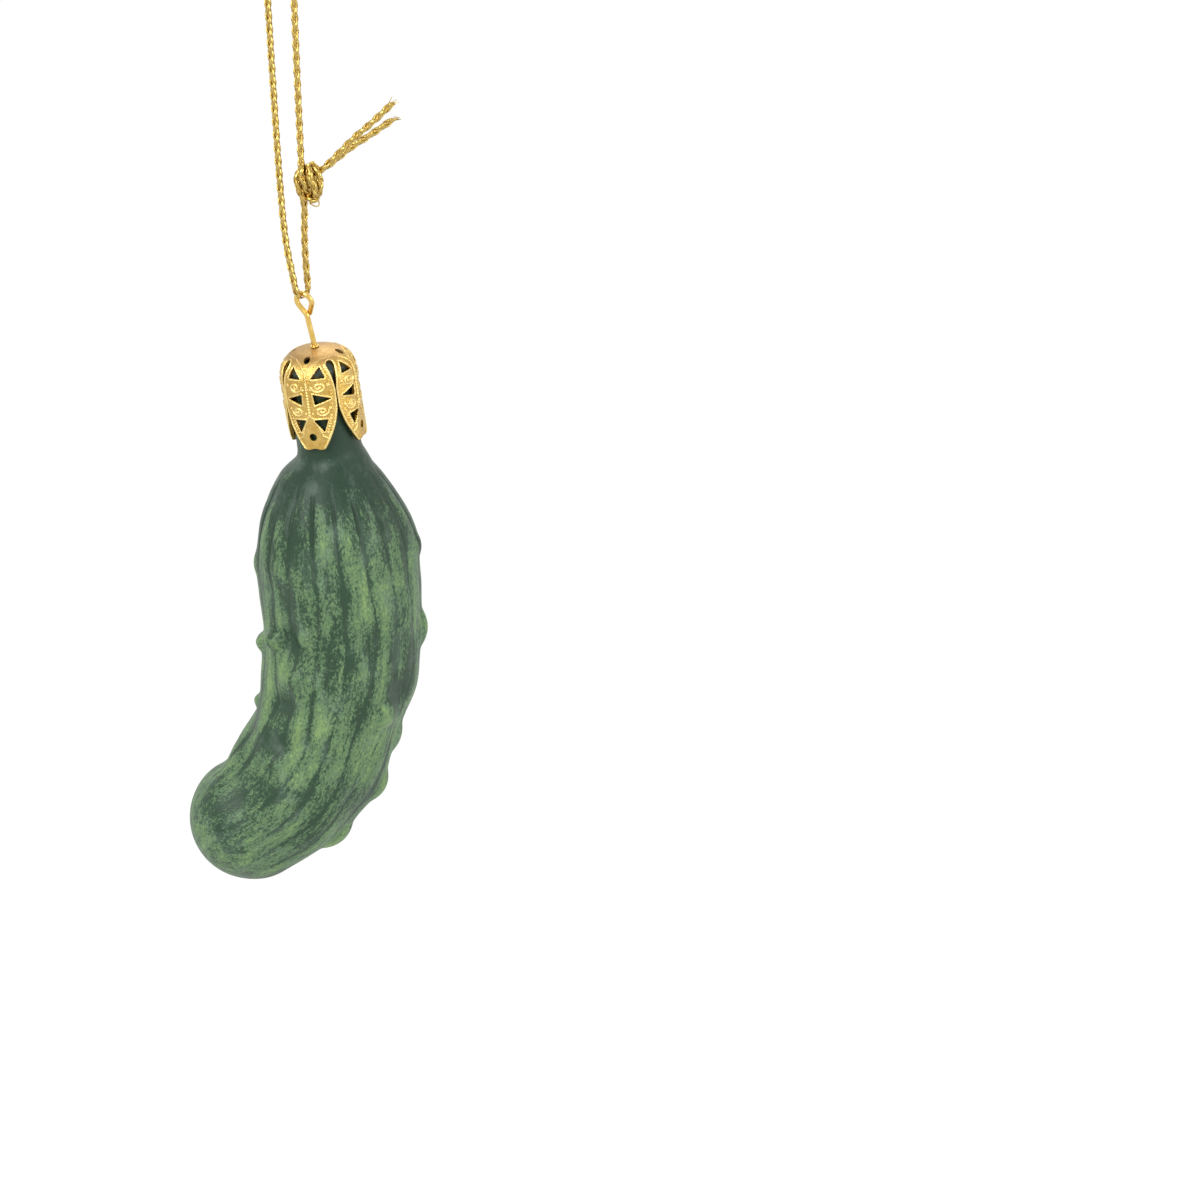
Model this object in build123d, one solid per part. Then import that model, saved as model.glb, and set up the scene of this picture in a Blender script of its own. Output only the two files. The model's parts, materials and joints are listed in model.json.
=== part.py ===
"""Hanging glass pickle ornament: blown glass body, pierced brass cap, eye pin and knotted cord.

Millimetres, +Z up.  The origin is the point where a hook bears on the inside of the cord loop,
and everything hangs below it.  The front of the ornament faces -Y.
"""
from build123d import *
import math
import os

# Cord
CORD_DIAMETER = 0.85
CORD_SIDES = 8
HOOK_DIAMETER = 2.55
CORD_BEND_SHARE = 0.45

# Eye pin
WIRE_DIAMETER = 0.65
WIRE_SIDES = 10
EYE_RADIUS = 1.02
EYE_DROP = 1.75
EYE_TURN = 40.0
EYE_END_LEAN = 13.5
EYE_END_RUN = 0.35
EYE_NECK_RADIUS = 0.5
EYE_CORD_ROOM = 0.30
HEAD_DIAMETER = 1.9
HEAD_THICKNESS = 0.35
HEAD_ROOM = 0.35
PIN_CLEARANCE = 0.08

# Where the eye hangs below the hook and the cap's crown below the eye, how far the neck and the body
# lean, and how far to the right of the neck's foot the body's spine starts
EYE_CENTRE = Vector(1.6, 0, -51.0)
CROWN_OFFSET = Vector(1.165, 0, -5.733)
NECK_LEAN = 6.0
BODY_LEAN = 4.2
SPINE_SHIFT = -0.6

# Pierced cap, with its drops measured down from the crown
CROWN_ROOM = 2.4
CAP_RADIUS = 4.6
CAP_SHEET = 0.35
CAP_CROWN_SLOPE = 8.0
CAP_CORNER_RADIUS = 3.0
CAP_CORNER_BANDS = 3
CAP_INSIDE_SIDES = 24
HOLE_SIDES = 8
CAP_TAPER = 0.15
PETAL_COUNT = 4
PETAL_AZIMUTH = -20.4
PETAL_DROP = 11.5
SLOT_HEAD_RADIUS = 0.48
SLOT_HEAD_DROP = 1.35
SLOT_WAIST = 0.09
SLOT_WAIST_TOP = 4.2
SLOT_WAIST_FOOT = 6.0
SLOT_SIDE = (0.72, 8.7)
SLOT_MOUTH = 2.2
CROWN_HOLE_WIDTH = 0.78
CROWN_HOLE_LENGTH = 1.15
CROWN_HOLE_SLANT = 61.0
TIP_HOLE_DIAMETER = 0.94
TIP_HOLE_DROP = 9.86
TIP_SCALLOP_RADIUS = 0.7
TIP_SCALLOP_DEPTH = 0.18
COLLAR_DIAMETER = 1.2
COLLAR_HEIGHT = 0.2
# Corners of the three piercings on one side of a petal's rib: distance from the rib, drop
PETAL_PIERCINGS = [
    [(1.64, 1.25), (0.65, 2.55), (2.33, 2.55)],
    [(0.7, 4.45), (0.8, 5.8), (2.73, 5.2)],
    [(0.47, 7.7), (2.1, 7.75), (1.52, 9.3)],
]

# Glass body
WALL = 1.0
NECK_RADIUS = 3.8
NECK_WALL = 0.9
NECK_HEIGHT = 11.0
NECK_RIM_CHAMFER = 0.3
NECK_ROOT = 0.8
SHOULDER_RADIUS = 9.65
SHOULDER_LENGTH = 13.2
STRAIGHT_LENGTH = 17.0
UPPER_BEND_RADIUS = 43.0
UPPER_BEND_ANGLE = 25.6
LOWER_BEND_RADIUS = 20.4
LOWER_BEND_ANGLE = 38.1
# Radius of the bent length at shares of its run, from the straight body to the rounded end
BODY_STATIONS = [
    (0, SHOULDER_RADIUS), (0.18, 9.25), (0.34, 9.25), (0.5, 8.5), (0.66, 8.5), (0.84, 8.15), (1, 7.4),
]

# Glue between the neck rim and the crown
ADHESIVE_RADIUS = 4.0
ADHESIVE_BORE = 2.95

# Flat-sided forms
FLATNESS = 1e-6
SHOULDER_BANDS = 8
END_BANDS = 6
END_SLOPE = 80.0
INSIDE_SIDES = 18

# Pressed flutes round the shoulder
FLUTE_COUNT = 18
FLUTE_DEPTH = 0.35
FLUTE_START = 2.5

# Warts: distance down the spine, azimuth from the right-hand side towards the front, radius, height
WARTS = [
    (12.7, 4, 2.0, 0.5),
    (22.1, 2, 2.1, 1.1),
    (29.7, 47, 1.7, 0.6),
    (33.5, 8, 1.9, 0.8),
    (38.7, 8, 1.9, 1.05),
    (44.3, 8, 1.9, 1.1),
    (13.0, 178, 2.2, 0.4),
    (25.1, 184, 1.6, 1.0),
    (22.4, 149, 1.5, 0.75),
    (34.3, 182, 1.1, 0.6),
    (39.7, 126, 1.8, 0.4),
    (15.5, 262, 2.0, 0.6),
    (20.2, 318, 1.7, 0.65),
    (25.6, 240, 1.8, 0.65),
    (31.4, 290, 1.9, 0.7),
    (37.6, 236, 1.7, 0.6),
    (43.6, 300, 1.8, 0.65),
]

# Turns from a wart's top at which its dome changes slope
WART_RINGS = (88, 64, 40, 16)
WART_SIDES = 12

# Cord route, measured from the eye centre (hook loop first, then both tails)
LOOP_HALF_WIDTH = (HOOK_DIAMETER + CORD_DIAMETER) / 2
LOOP_TOP = CORD_DIAMETER / 2 - EYE_CENTRE.Z
EYE_BIGHT_HALF = (WIRE_DIAMETER + CORD_DIAMETER) / 2 + EYE_CORD_ROOM
BIGHT_LEVEL = 0.2
FRONT_STRAND = [
    (-3.1, -0.1, 42.0), (-2.75, -0.2, 28.5), (-2.35, -0.4, 15.5), (-1.95, -0.6, 8.2), (-1.3, -0.8, 4.2),
]
BACK_STRAND = [(0.45, 0.85, 3.6), (0.35, 0.6, 8.0), (0.8, 0.2, 13.2)]
UPPER_STRAND = [(0.6, 0.1, 16.2), (0.15, 0.05, 30.0)]
KNOT_CENTRE = (1.05, 0.05, 14.8)
KNOT_CORE = (1.1, 2.35)
KNOT_CORE_BANDS = 6
KNOT_SIDES = 12
KNOT_WRAP_RADIUS = 1.25
KNOT_WRAP_RISE = 0.72
KNOT_WRAP_TILT = 22.0
LONG_TAIL = [
    (1.7, -0.55, 15.7), (3.3, -0.65, 17.1), (6.8, -0.9, 20.8), (9.0, -1.1, 22.6), (11.3, -1.3, 24.9),
]
SHORT_TAIL = [
    (1.7, 0.45, 15.3), (3.6, 0.55, 16.8), (6.2, 0.7, 18.9), (8.6, 0.8, 20.3), (11.3, 1.0, 22.1),
]

# Shared directions and planes
wire_radius = WIRE_DIAMETER / 2
cord_radius = CORD_DIAMETER / 2
neck_lean = math.radians(NECK_LEAN)
neck_up = Vector(-math.sin(neck_lean), 0, math.cos(neck_lean))
neck_right = Vector(math.cos(neck_lean), 0, math.sin(neck_lean))
body_lean = math.radians(BODY_LEAN)
body_heading = Vector(math.sin(body_lean), 0, -math.cos(body_lean))
cap_top = NECK_HEIGHT + CROWN_ROOM
crown_apex = EYE_CENTRE + CROWN_OFFSET
seam = crown_apex - neck_up * cap_top
neck_plane = Plane(origin=seam, x_dir=neck_right, z_dir=neck_up)
neck_foot = Plane(origin=seam, x_dir=neck_right, z_dir=-neck_up)
crown_plane = neck_plane.offset(cap_top)
profile_plane = Plane(origin=seam, x_dir=neck_right, z_dir=neck_right.cross(neck_up))
neck_axis = Axis(seam, neck_up)
pin_up = (EYE_CENTRE - crown_apex).normalized()
turn = math.radians(EYE_TURN)
bight_across = Vector(-math.sin(turn), -math.cos(turn), 0)
swing_axis = (bight_across - pin_up * bight_across.dot(pin_up)).normalized()
eye_right = pin_up.cross(swing_axis)
eye_plane = Plane(origin=EYE_CENTRE, x_dir=eye_right, z_dir=swing_axis)
pin_axis_length = (EYE_CENTRE - crown_apex).length


def below_crown(azimuth):
    """Plane on the neck axis at an azimuth from the front: x round it, y down from the crown, z outwards."""
    front = Vector(0, -1, 0)
    outward = front.rotate(Axis((0, 0, 0), neck_up), azimuth)
    return Plane(origin=crown_apex, x_dir=outward.cross(neck_up), z_dir=outward)


def pickle_spine():
    """Centre line of the pickle: a straight length and two bends, each tangent to the one before."""
    top = seam + Vector(SPINE_SHIFT, 0, 0)
    bottom = top + body_heading * STRAIGHT_LENGTH
    straight = Line(top, bottom)
    with BuildLine(Plane.XZ) as bends:
        heading = (body_heading.X, body_heading.Z)
        upper = JernArc((bottom.X, bottom.Z), heading, UPPER_BEND_RADIUS, -UPPER_BEND_ANGLE)
        JernArc(upper @ 1, upper % 1, LOWER_BEND_RADIUS, -LOWER_BEND_ANGLE)
    return straight, bends.edges().sort_by(Axis.Z, reverse=True)


straight_spine, (upper_bend, lower_bend) = pickle_spine()


def spine_plane(distance):
    """Plane square to the spine at a distance down it, x to the right and z down the spine."""
    piece, run = straight_spine, distance
    for following in (upper_bend, lower_bend):
        if run > piece.length:
            run -= piece.length
            piece = following
    share = min(run / piece.length, 1.0)
    along = piece % share
    return Plane(origin=piece @ share, x_dir=Vector(-along.Z, 0, along.X), z_dir=along)


bend_length = upper_bend.length + lower_bend.length
end_plane = spine_plane(STRAIGHT_LENGTH + bend_length)


def body_radius(distance):
    """Outer radius at a distance down the spine: a parabola at the shoulder, then the stations."""
    if distance < STRAIGHT_LENGTH:
        rest = max(0.0, 1 - distance / SHOULDER_LENGTH)
        return SHOULDER_RADIUS - (SHOULDER_RADIUS - NECK_RADIUS) * rest**2
    share = min((distance - STRAIGHT_LENGTH) / bend_length, 1.0)
    for (low, low_radius), (high, high_radius) in zip(BODY_STATIONS, BODY_STATIONS[1:]):
        if share <= high:
            return low_radius + (high_radius - low_radius) * (share - low) / (high - low)


def corner_reach(radius, sides):
    """Distance of the corners of a regular section that has the area of a circle of the given radius."""
    return radius * math.sqrt(2 * math.pi / (sides * math.sin(2 * math.pi / sides)))


def many_sided(radius, sides):
    """Regular section with the area of a circle of the given radius."""
    return RegularPolygon(corner_reach(radius, sides), sides)


def flat_faces(corners):
    """One face through four corners when they lie in a plane, otherwise two triangles."""
    first, second, third, fourth = corners
    across = (second - first).cross(third - first).normalized()
    if abs(across.dot(fourth - first)) < FLATNESS:
        return [Face(Wire.make_polygon(corners))]
    triangles = [(first, second, third), (first, third, fourth)]
    return [Face(Wire.make_polygon(triangle)) for triangle in triangles]


def banded(rings):
    """Solid of flat faces between rings of corners, closed by the first and the last ring."""
    faces = [Face(Wire.make_polygon(rings[0])), Face(Wire.make_polygon(rings[-1]))]
    for low, high in zip(rings, rings[1:]):
        for index in range(len(low)):
            following = (index + 1) % len(low)
            faces += flat_faces((low[index], low[following], high[following], high[index]))
    solid = Solid(Shell(faces))
    return solid if solid.volume > 0 else solid.fix()


def stacked(plane, profile, sides):
    """Banded solid through regular rings, given as radius and height above the plane."""
    rings = []
    for radius, height in profile:
        reach = corner_reach(radius, sides)
        angles = [2 * math.pi * index / sides for index in range(sides)]
        rings.append([
            plane.from_local_coords(Vector(reach * math.cos(angle), reach * math.sin(angle), height))
            for angle in angles
        ])
    return banded(rings)


def flute_depth(distance):
    """How deep the flutes are at a distance down the spine: nothing at both ends, most in the middle."""
    share = (distance - FLUTE_START) / (SHOULDER_LENGTH - FLUTE_START)
    return FLUTE_DEPTH * math.sin(math.pi * share) if 0 < share < 1 else 0.0


def pickle_ring(plane, radius, sides, groove=0.0):
    """Corners of a section square to the spine, with every second corner drawn in by the groove."""
    corners = []
    for index in range(sides):
        angle = 2 * math.pi * index / sides
        reach = corner_reach(radius, sides) - groove * (index % 2)
        corners.append(plane.from_local_coords(Vector(reach * math.cos(angle), reach * math.sin(angle))))
    return corners


def pickle_form(inset, sides, fluted):
    """Neck foot, shoulder, bent body and rounded end as bands, an inset inside the outer surface."""
    rings = [pickle_ring(neck_foot, NECK_RADIUS - inset, sides)]
    for index in range(1, SHOULDER_BANDS + 1):
        distance = SHOULDER_LENGTH * index / SHOULDER_BANDS
        groove = flute_depth(distance) if fluted else 0.0
        rings.append(pickle_ring(spine_plane(distance), body_radius(distance) - inset, sides, groove))
    for share, radius in BODY_STATIONS:
        plane = spine_plane(STRAIGHT_LENGTH + share * bend_length)
        rings.append(pickle_ring(plane, radius - inset, sides))
    end_radius = BODY_STATIONS[-1][1] - inset
    for index in range(1, END_BANDS + 1):
        angle = math.radians(END_SLOPE * index / END_BANDS)
        plane = end_plane.offset(end_radius * math.sin(angle))
        rings.append(pickle_ring(plane, end_radius * math.cos(angle), sides))
    return banded(rings)


def neck_tube():
    """Open neck that rises out of the shoulder, with both edges of its rim broken."""
    bore = NECK_RADIUS - NECK_WALL
    shoulder = NECK_HEIGHT - NECK_RIM_CHAMFER
    profile = make_face(Polyline(
        (0, -NECK_ROOT), (NECK_RADIUS, -NECK_ROOT), (NECK_RADIUS, shoulder),
        (NECK_RADIUS - NECK_RIM_CHAMFER, NECK_HEIGHT), (bore + NECK_RIM_CHAMFER, NECK_HEIGHT),
        (bore, shoulder), (bore, bore), (0, bore), close=True,
    ))
    return revolve(profile_plane * profile, neck_axis)


def warts():
    """Rounded bumps: domes sunk into the body so that each stands its own height above the surface."""
    bumps = []
    for distance, azimuth, radius, height in WARTS:
        plane = spine_plane(distance)
        angle = math.radians(azimuth)
        outward = plane.x_dir * math.cos(angle) + Vector(0, -1, 0) * math.sin(angle)
        centre = plane.origin + outward * (body_radius(distance) + height - radius)
        slopes = [math.radians(slope) for slope in WART_RINGS]
        rings = [(radius * math.sin(slope), radius * math.cos(slope)) for slope in slopes]
        bumps.append(stacked(Plane(origin=centre, x_dir=plane.z_dir, z_dir=outward), rings, WART_SIDES))
    return bumps


def glass_body():
    """Hollow blown body with an open neck."""
    outside = pickle_form(0, 2 * FLUTE_COUNT, fluted=True) + neck_tube() + warts()
    inside = pickle_form(WALL, INSIDE_SIDES, fluted=False)
    bore = neck_plane * Cylinder(
        NECK_RADIUS - NECK_WALL, 2 * NECK_HEIGHT, align=(Align.CENTER, Align.CENTER, Align.CENTER)
    )
    return outside - inside - bore


def cap_profile(inset):
    """Rings of the cap from the petal tips to the crown's middle: radius, height over the crown plane."""
    slope = math.radians(CAP_CROWN_SLOPE)
    across = CAP_RADIUS - CAP_CORNER_RADIUS
    middle = -across * math.tan(slope) - CAP_CORNER_RADIUS / math.cos(slope)
    bend = CAP_CORNER_RADIUS - inset
    rings = [(CAP_RADIUS - inset - CAP_TAPER, -PETAL_DROP)]
    for index in range(CAP_CORNER_BANDS + 1):
        angle = math.pi / 2 - (math.pi / 2 - slope) * index / CAP_CORNER_BANDS
        rings.append((across + bend * math.sin(angle), middle + bend * math.cos(angle)))
    rings.append((wire_radius, -inset / math.cos(slope)))
    return rings


def cap_outside():
    """Solid of revolution under the cap's outer surface."""
    profile = make_face(Polyline((0, -PETAL_DROP), *cap_profile(0), (0, 0), close=True))
    return revolve(profile_plane * Pos(0, cap_top) * profile, neck_axis)


def cap_inside():
    """Space under the cap's sheet."""
    return stacked(crown_plane, cap_profile(CAP_SHEET), CAP_INSIDE_SIDES)


def petal_slot(azimuth):
    """Gap between two petals: a round head, a narrow waist and a mouth that widens to the tips."""
    with BuildSketch(below_crown(azimuth)) as slot:
        with Locations((0, SLOT_HEAD_DROP)):
            RegularPolygon(SLOT_HEAD_RADIUS, HOLE_SIDES)
        with BuildLine():
            upper = Polyline((0, SLOT_HEAD_DROP), (SLOT_HEAD_RADIUS, SLOT_HEAD_DROP),
                             (SLOT_WAIST, SLOT_WAIST_TOP), (SLOT_WAIST, SLOT_WAIST_FOOT))
            edge = ThreePointArc(upper @ 1, SLOT_SIDE, (SLOT_MOUTH, PETAL_DROP))
            Polyline(edge @ 1, (SLOT_MOUTH, PETAL_DROP + SLOT_MOUTH), (0, PETAL_DROP + SLOT_MOUTH))
            mirror(about=Plane.YZ)
        make_face()
    return extrude(slot.sketch, 2 * CAP_RADIUS)


def petal_piercings(azimuth):
    """Holes of one petal: three pairs of triangles, a tip hole, the scalloped end and a crown hole."""
    plane = below_crown(azimuth)
    with BuildSketch(plane) as holes:
        for corners in PETAL_PIERCINGS:
            Polygon(*corners, align=None)
            Polygon(*[(-across, drop) for across, drop in reversed(corners)], align=None)
        with Locations((0, TIP_HOLE_DROP)):
            many_sided(TIP_HOLE_DIAMETER / 2, HOLE_SIDES)
        with Locations((0, PETAL_DROP - TIP_SCALLOP_DEPTH + TIP_SCALLOP_RADIUS)):
            many_sided(TIP_SCALLOP_RADIUS, 2 * HOLE_SIDES)
    slant = math.radians(CROWN_HOLE_SLANT)
    outward = plane.z_dir * math.cos(slant) + neck_up * math.sin(slant)
    corner = plane.z_dir * (CAP_RADIUS - CAP_CORNER_RADIUS) - neck_up * CAP_CORNER_RADIUS
    crown_hole = scale(
        many_sided(CROWN_HOLE_WIDTH / 2, HOLE_SIDES), (1, CROWN_HOLE_LENGTH / CROWN_HOLE_WIDTH, 1)
    )
    crown_hole = Plane(origin=crown_apex + corner, x_dir=plane.x_dir, z_dir=outward) * crown_hole
    return [extrude(holes.sketch, 2 * CAP_RADIUS), extrude(crown_hole, 2 * CAP_CORNER_RADIUS)]


def pin_hole():
    """Round hole through the crown and its collar, along the pin."""
    return Plane(origin=crown_apex, z_dir=pin_up) * Cylinder(wire_radius + PIN_CLEARANCE, CAP_CORNER_RADIUS)


def filigree_cap():
    """Stamped sheet cap: a domed crown with four pierced petals and a collar round the pin hole."""
    collar = Plane(origin=crown_apex, z_dir=neck_up) * Cylinder(
        COLLAR_DIAMETER / 2, COLLAR_HEIGHT + CAP_SHEET / 2, align=(Align.CENTER, Align.CENTER, Align.CENTER)
    )
    cap = cap_outside() + collar - cap_inside()
    cuts = [pin_hole()]
    for index in range(PETAL_COUNT):
        petal = PETAL_AZIMUTH + index * 360 / PETAL_COUNT
        cuts += petal_piercings(petal)
        cuts.append(petal_slot(petal + 180 / PETAL_COUNT))
    return cap - cuts


def cap_adhesive(glass):
    """Bead of glue that fills the space between the neck rim and the crown."""
    foot = neck_plane.offset(NECK_HEIGHT - NECK_WALL)
    bead = stacked(foot, [(ADHESIVE_RADIUS, 0), (ADHESIVE_RADIUS, CAP_CORNER_RADIUS)], CAP_INSIDE_SIDES)
    middle = stacked(foot, [(ADHESIVE_BORE, 0), (ADHESIVE_BORE, CAP_CORNER_RADIUS)], CAP_INSIDE_SIDES)
    return ((bead & cap_inside()) - middle) - glass


def eye_pin():
    """One length of wire: a flat head under the crown, a straight stem and an eye closed behind it."""
    head_depth = pin_axis_length + CAP_SHEET + HEAD_ROOM
    half_angle = math.asin(EYE_RADIUS / EYE_DROP)
    tangent = Vector(-EYE_RADIUS * math.cos(half_angle), -EYE_RADIUS * math.sin(half_angle))
    crossing = Vector(0, -EYE_DROP)
    neck = EYE_NECK_RADIUS * math.tan(half_angle / 2)
    stem_top = crossing - Vector(0, neck)
    bend_end = crossing + (tangent - crossing).normalized() * neck
    bend_middle = Vector(
        -EYE_NECK_RADIUS * (1 - math.cos(half_angle / 2)),
        stem_top.Y + EYE_NECK_RADIUS * math.sin(half_angle / 2),
    )
    top = Vector(0, EYE_RADIUS)
    back_axis = Axis((0, EYE_RADIUS, 0), (1, 0, 0))
    left_side = Vector(-EYE_RADIUS * math.cos(half_angle / 2), EYE_RADIUS * math.sin(half_angle / 2))
    rising = [
        ThreePointArc(stem_top, bend_middle, bend_end),
        Line(bend_end, tangent),
        ThreePointArc(tangent, left_side, top),
    ]
    right_tangent = Vector(-tangent.X, tangent.Y)
    right_side = Vector(-left_side.X, left_side.Y)
    wire_end = crossing + (crossing - right_tangent).normalized() * EYE_END_RUN
    closing = [
        ThreePointArc(top, right_side, right_tangent),
        Line(right_tangent, wire_end),
    ]
    closing = [edge.rotate(back_axis, EYE_END_LEAN) for edge in closing]
    eye = eye_plane * Wire([*rising, *closing])
    section = Plane(origin=eye @ 0, z_dir=eye % 0) * many_sided(wire_radius, WIRE_SIDES)
    foot = Plane(origin=EYE_CENTRE - pin_up * head_depth, z_dir=pin_up)
    stem = foot * Cylinder(
        wire_radius, head_depth + stem_top.Y, align=(Align.CENTER, Align.CENTER, Align.MIN)
    )
    head = foot * Cylinder(
        HEAD_DIAMETER / 2, HEAD_THICKNESS, align=(Align.CENTER, Align.CENTER, Align.MAX)
    )
    return sweep(section, eye) + stem + head


def cord_radii(points):
    """Largest bend at each corner of a route: a share of its shorter run over the half turn's tangent."""
    radii = []
    for before, corner, after in zip(points, points[1:], points[2:]):
        into, out = corner - before, after - corner
        half_turn = math.radians(into.get_angle(out)) / 2
        radii.append(CORD_BEND_SHARE * min(into.length, out.length) / math.tan(half_turn))
    return radii


def cord_tube(name, route):
    """Round cord along a route given from the eye centre, with its radii, length and volume printed."""
    points = [EYE_CENTRE + Vector(*point) for point in route]
    radii = cord_radii(points)
    path = FilletPolyline(*points, radius=radii)
    section = Plane(origin=path @ 0, z_dir=path % 0) * many_sided(cord_radius, CORD_SIDES)
    tube = sweep(section, path)
    print(name, "radii", [round(radius, 2) for radius in radii])
    print(name, "length", round(path.length, 2), "volume", round(tube.volume, 3),
          "section x length", round(section.area * path.length, 3))
    return tube


def hanging_cord():
    """Loop from the knot over the hook, down in front, through the eye and back up to the knot."""
    bight = bight_across * EYE_BIGHT_HALF
    middle = -EYE_CENTRE.X
    route = [
        *UPPER_STRAND,
        (middle + LOOP_HALF_WIDTH, 0, LOOP_TOP),
        (middle - LOOP_HALF_WIDTH, 0, LOOP_TOP),
        *FRONT_STRAND,
        (bight.X, bight.Y, BIGHT_LEVEL),
        (-bight.X, -bight.Y, BIGHT_LEVEL),
        *BACK_STRAND,
    ]
    return cord_tube("hanging_cord", route)


def cord_knot():
    """Overhand knot that ties both cord ends: two tilted wraps drawn down on a core."""
    half_width, half_height = KNOT_CORE
    rings = []
    for index in range(1, KNOT_CORE_BANDS):
        angle = math.pi * index / KNOT_CORE_BANDS
        rings.append((half_width * math.sin(angle), -half_height * math.cos(angle)))
    knot = stacked(Plane.XY, rings, KNOT_SIDES)
    start = Vector(KNOT_WRAP_RADIUS, 0)
    corners = [start.rotate(Axis.Z, 360 * index / KNOT_SIDES) for index in range(KNOT_SIDES)]
    ring = Polyline(*corners, close=True)
    section = Plane(origin=ring @ 0, z_dir=ring % 0) * many_sided(cord_radius, CORD_SIDES)
    wrap = sweep(section, ring, transition=Transition.RIGHT)
    for side in (-1, 1):
        knot += Pos(0, 0, side * KNOT_WRAP_RISE) * Rot(0, side * KNOT_WRAP_TILT, 0) * wrap
    return Pos(EYE_CENTRE + Vector(*KNOT_CENTRE)) * knot


def cord_tails():
    """The two cut ends beyond the knot."""
    return Compound([cord_tube("long tail", LONG_TAIL), cord_tube("short tail", SHORT_TAIL)])


glass = glass_body()
nodes = {
    "glass_body": glass,
    "filigree_cap": filigree_cap(),
    "cap_adhesive": cap_adhesive(glass),
    "eye_pin": eye_pin(),
    "hanging_cord": hanging_cord(),
    "cord_knot": cord_knot(),
    "cord_tails": cord_tails(),
}

os.makedirs("parts", exist_ok=True)
for name, shape in nodes.items():
    export_step(shape, f"parts/{name}.step")
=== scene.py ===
"""Looks of a hanging glass pickle ornament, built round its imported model.

Shapes are worked out in millimetres as numpy arrays and stored in metres.  +Z is up, the front
faces -Y, and the origin is where a hook bears on the inside of the cord loop.
"""
import json
import math

import bpy
import numpy as np
from mathutils import Matrix, Vector
from mathutils.geometry import delaunay_2d_cdt


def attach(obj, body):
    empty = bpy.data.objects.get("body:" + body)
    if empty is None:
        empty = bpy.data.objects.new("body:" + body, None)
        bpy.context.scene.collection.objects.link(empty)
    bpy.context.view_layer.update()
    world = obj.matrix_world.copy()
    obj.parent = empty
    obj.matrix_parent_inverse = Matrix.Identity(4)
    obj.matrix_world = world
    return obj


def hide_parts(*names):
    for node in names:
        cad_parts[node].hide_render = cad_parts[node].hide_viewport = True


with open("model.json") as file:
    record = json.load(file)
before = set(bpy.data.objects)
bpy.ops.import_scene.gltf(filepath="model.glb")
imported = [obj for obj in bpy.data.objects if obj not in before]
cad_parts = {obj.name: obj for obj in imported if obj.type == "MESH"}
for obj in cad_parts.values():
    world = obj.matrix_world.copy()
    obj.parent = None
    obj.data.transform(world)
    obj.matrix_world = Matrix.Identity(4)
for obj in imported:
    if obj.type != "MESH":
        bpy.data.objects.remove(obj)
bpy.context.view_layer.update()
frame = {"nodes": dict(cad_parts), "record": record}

MM = 0.001
JOINTS = {joint["name"]: joint for joint in frame["record"]["behaviour"]["joints"]}

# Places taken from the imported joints, in millimetres
EYE_CENTRE = np.array(JOINTS["eye_swing"]["pos_m"]) / MM
SWING_AXIS = np.array(JOINTS["eye_swing"]["axis"])
CROWN_APEX = np.array(JOINTS["pickle_swivel"]["pos_m"]) / MM
PIN_UP = np.array(JOINTS["pickle_swivel"]["axis"])
FRONT = np.array([0.0, -1.0, 0.0])

# Glass body
NECK_LEAN = math.radians(6.0)
BODY_LEAN = math.radians(4.2)
NECK_UP = np.array([-math.sin(NECK_LEAN), 0.0, math.cos(NECK_LEAN)])
NECK_RIGHT = np.array([math.cos(NECK_LEAN), 0.0, math.sin(NECK_LEAN)])
CAP_TOP = 13.4
SEAM = CROWN_APEX - NECK_UP * CAP_TOP
SPINE_TOP = SEAM + np.array([-0.6, 0.0, 0.0])
NECK_BLEND = 2.5
NECK_RADIUS = 3.8
NECK_HEIGHT = 11.0
NECK_WALL = 0.9
WALL = 1.0
RIM_RADIUS = 0.3
SEAM_FILLET = 0.3
SHOULDER_RADIUS = 9.65
SHOULDER_LENGTH = 13.2
STRAIGHT_LENGTH = 17.0
# The two bends of the spine: radius, angle
BENDS = [(43.0, math.radians(25.6)), (20.4, math.radians(38.1))]
BEND_LENGTH = sum(radius * angle for radius, angle in BENDS)
END_START = STRAIGHT_LENGTH + BEND_LENGTH
END_RADIUS = 7.4
SKIN_RADIUS = 9.0
# Shares of the bends' length and the radius there
BODY_STATIONS = [
    (0.0, SHOULDER_RADIUS), (0.18, 9.25), (0.34, 9.25), (0.5, 8.5), (0.66, 8.5), (0.84, 8.15),
    (1.0, END_RADIUS),
]

# Rows and columns of the glass skin, and the angle of its last row before the tip
GLASS_COLUMNS = 264
END_ROWS = 34
BODY_ROWS = 200
NECK_ROWS = 24
RIM_ROWS = 5
INSIDE_ROWS = 40
INSIDE_STRIDE = 3
LAST_ROW_ANGLE = 88.5

# Pressed pleats, counted round the body; they begin and fade between two distances down the spine
PLEAT_COUNT = 18
PLEAT_AZIMUTH = math.radians(87.3)
PLEAT_DEPTH = 0.45
PLEAT_BEGIN = (1.5, 5.5)
PLEAT_FADE = (44.0, 54.0)
DEEPEST_PLACE = 6.5
DEEPEST_RUN = 5.0
FURROW_SHARE = 0.16
FURROW_PAINT_FADE = (49.0, 56.0)
CREASE_WIDTH = 0.2
CREASE_SHARE = 0.75
# Wander of the creases: size, turns round the body, turn for each millimetre down it
CREASE_WANDERS = [(0.3, 3, 0.21), (0.2, 7, -0.33)]
WANDER_BEGIN = (8.0, 20.0)

# Slow swells of the mould
SWELL_SEED = 11
SWELL_COUNT = 14
SWELL_HEIGHT = 0.045
SWELL_TURNS = (1, 7)
SWELL_WAVES = (9.0, 26.0)
SWELL_BEGIN = (4.0, 12.0)
SWELL_FADE = (50.0, 57.0)

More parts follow.
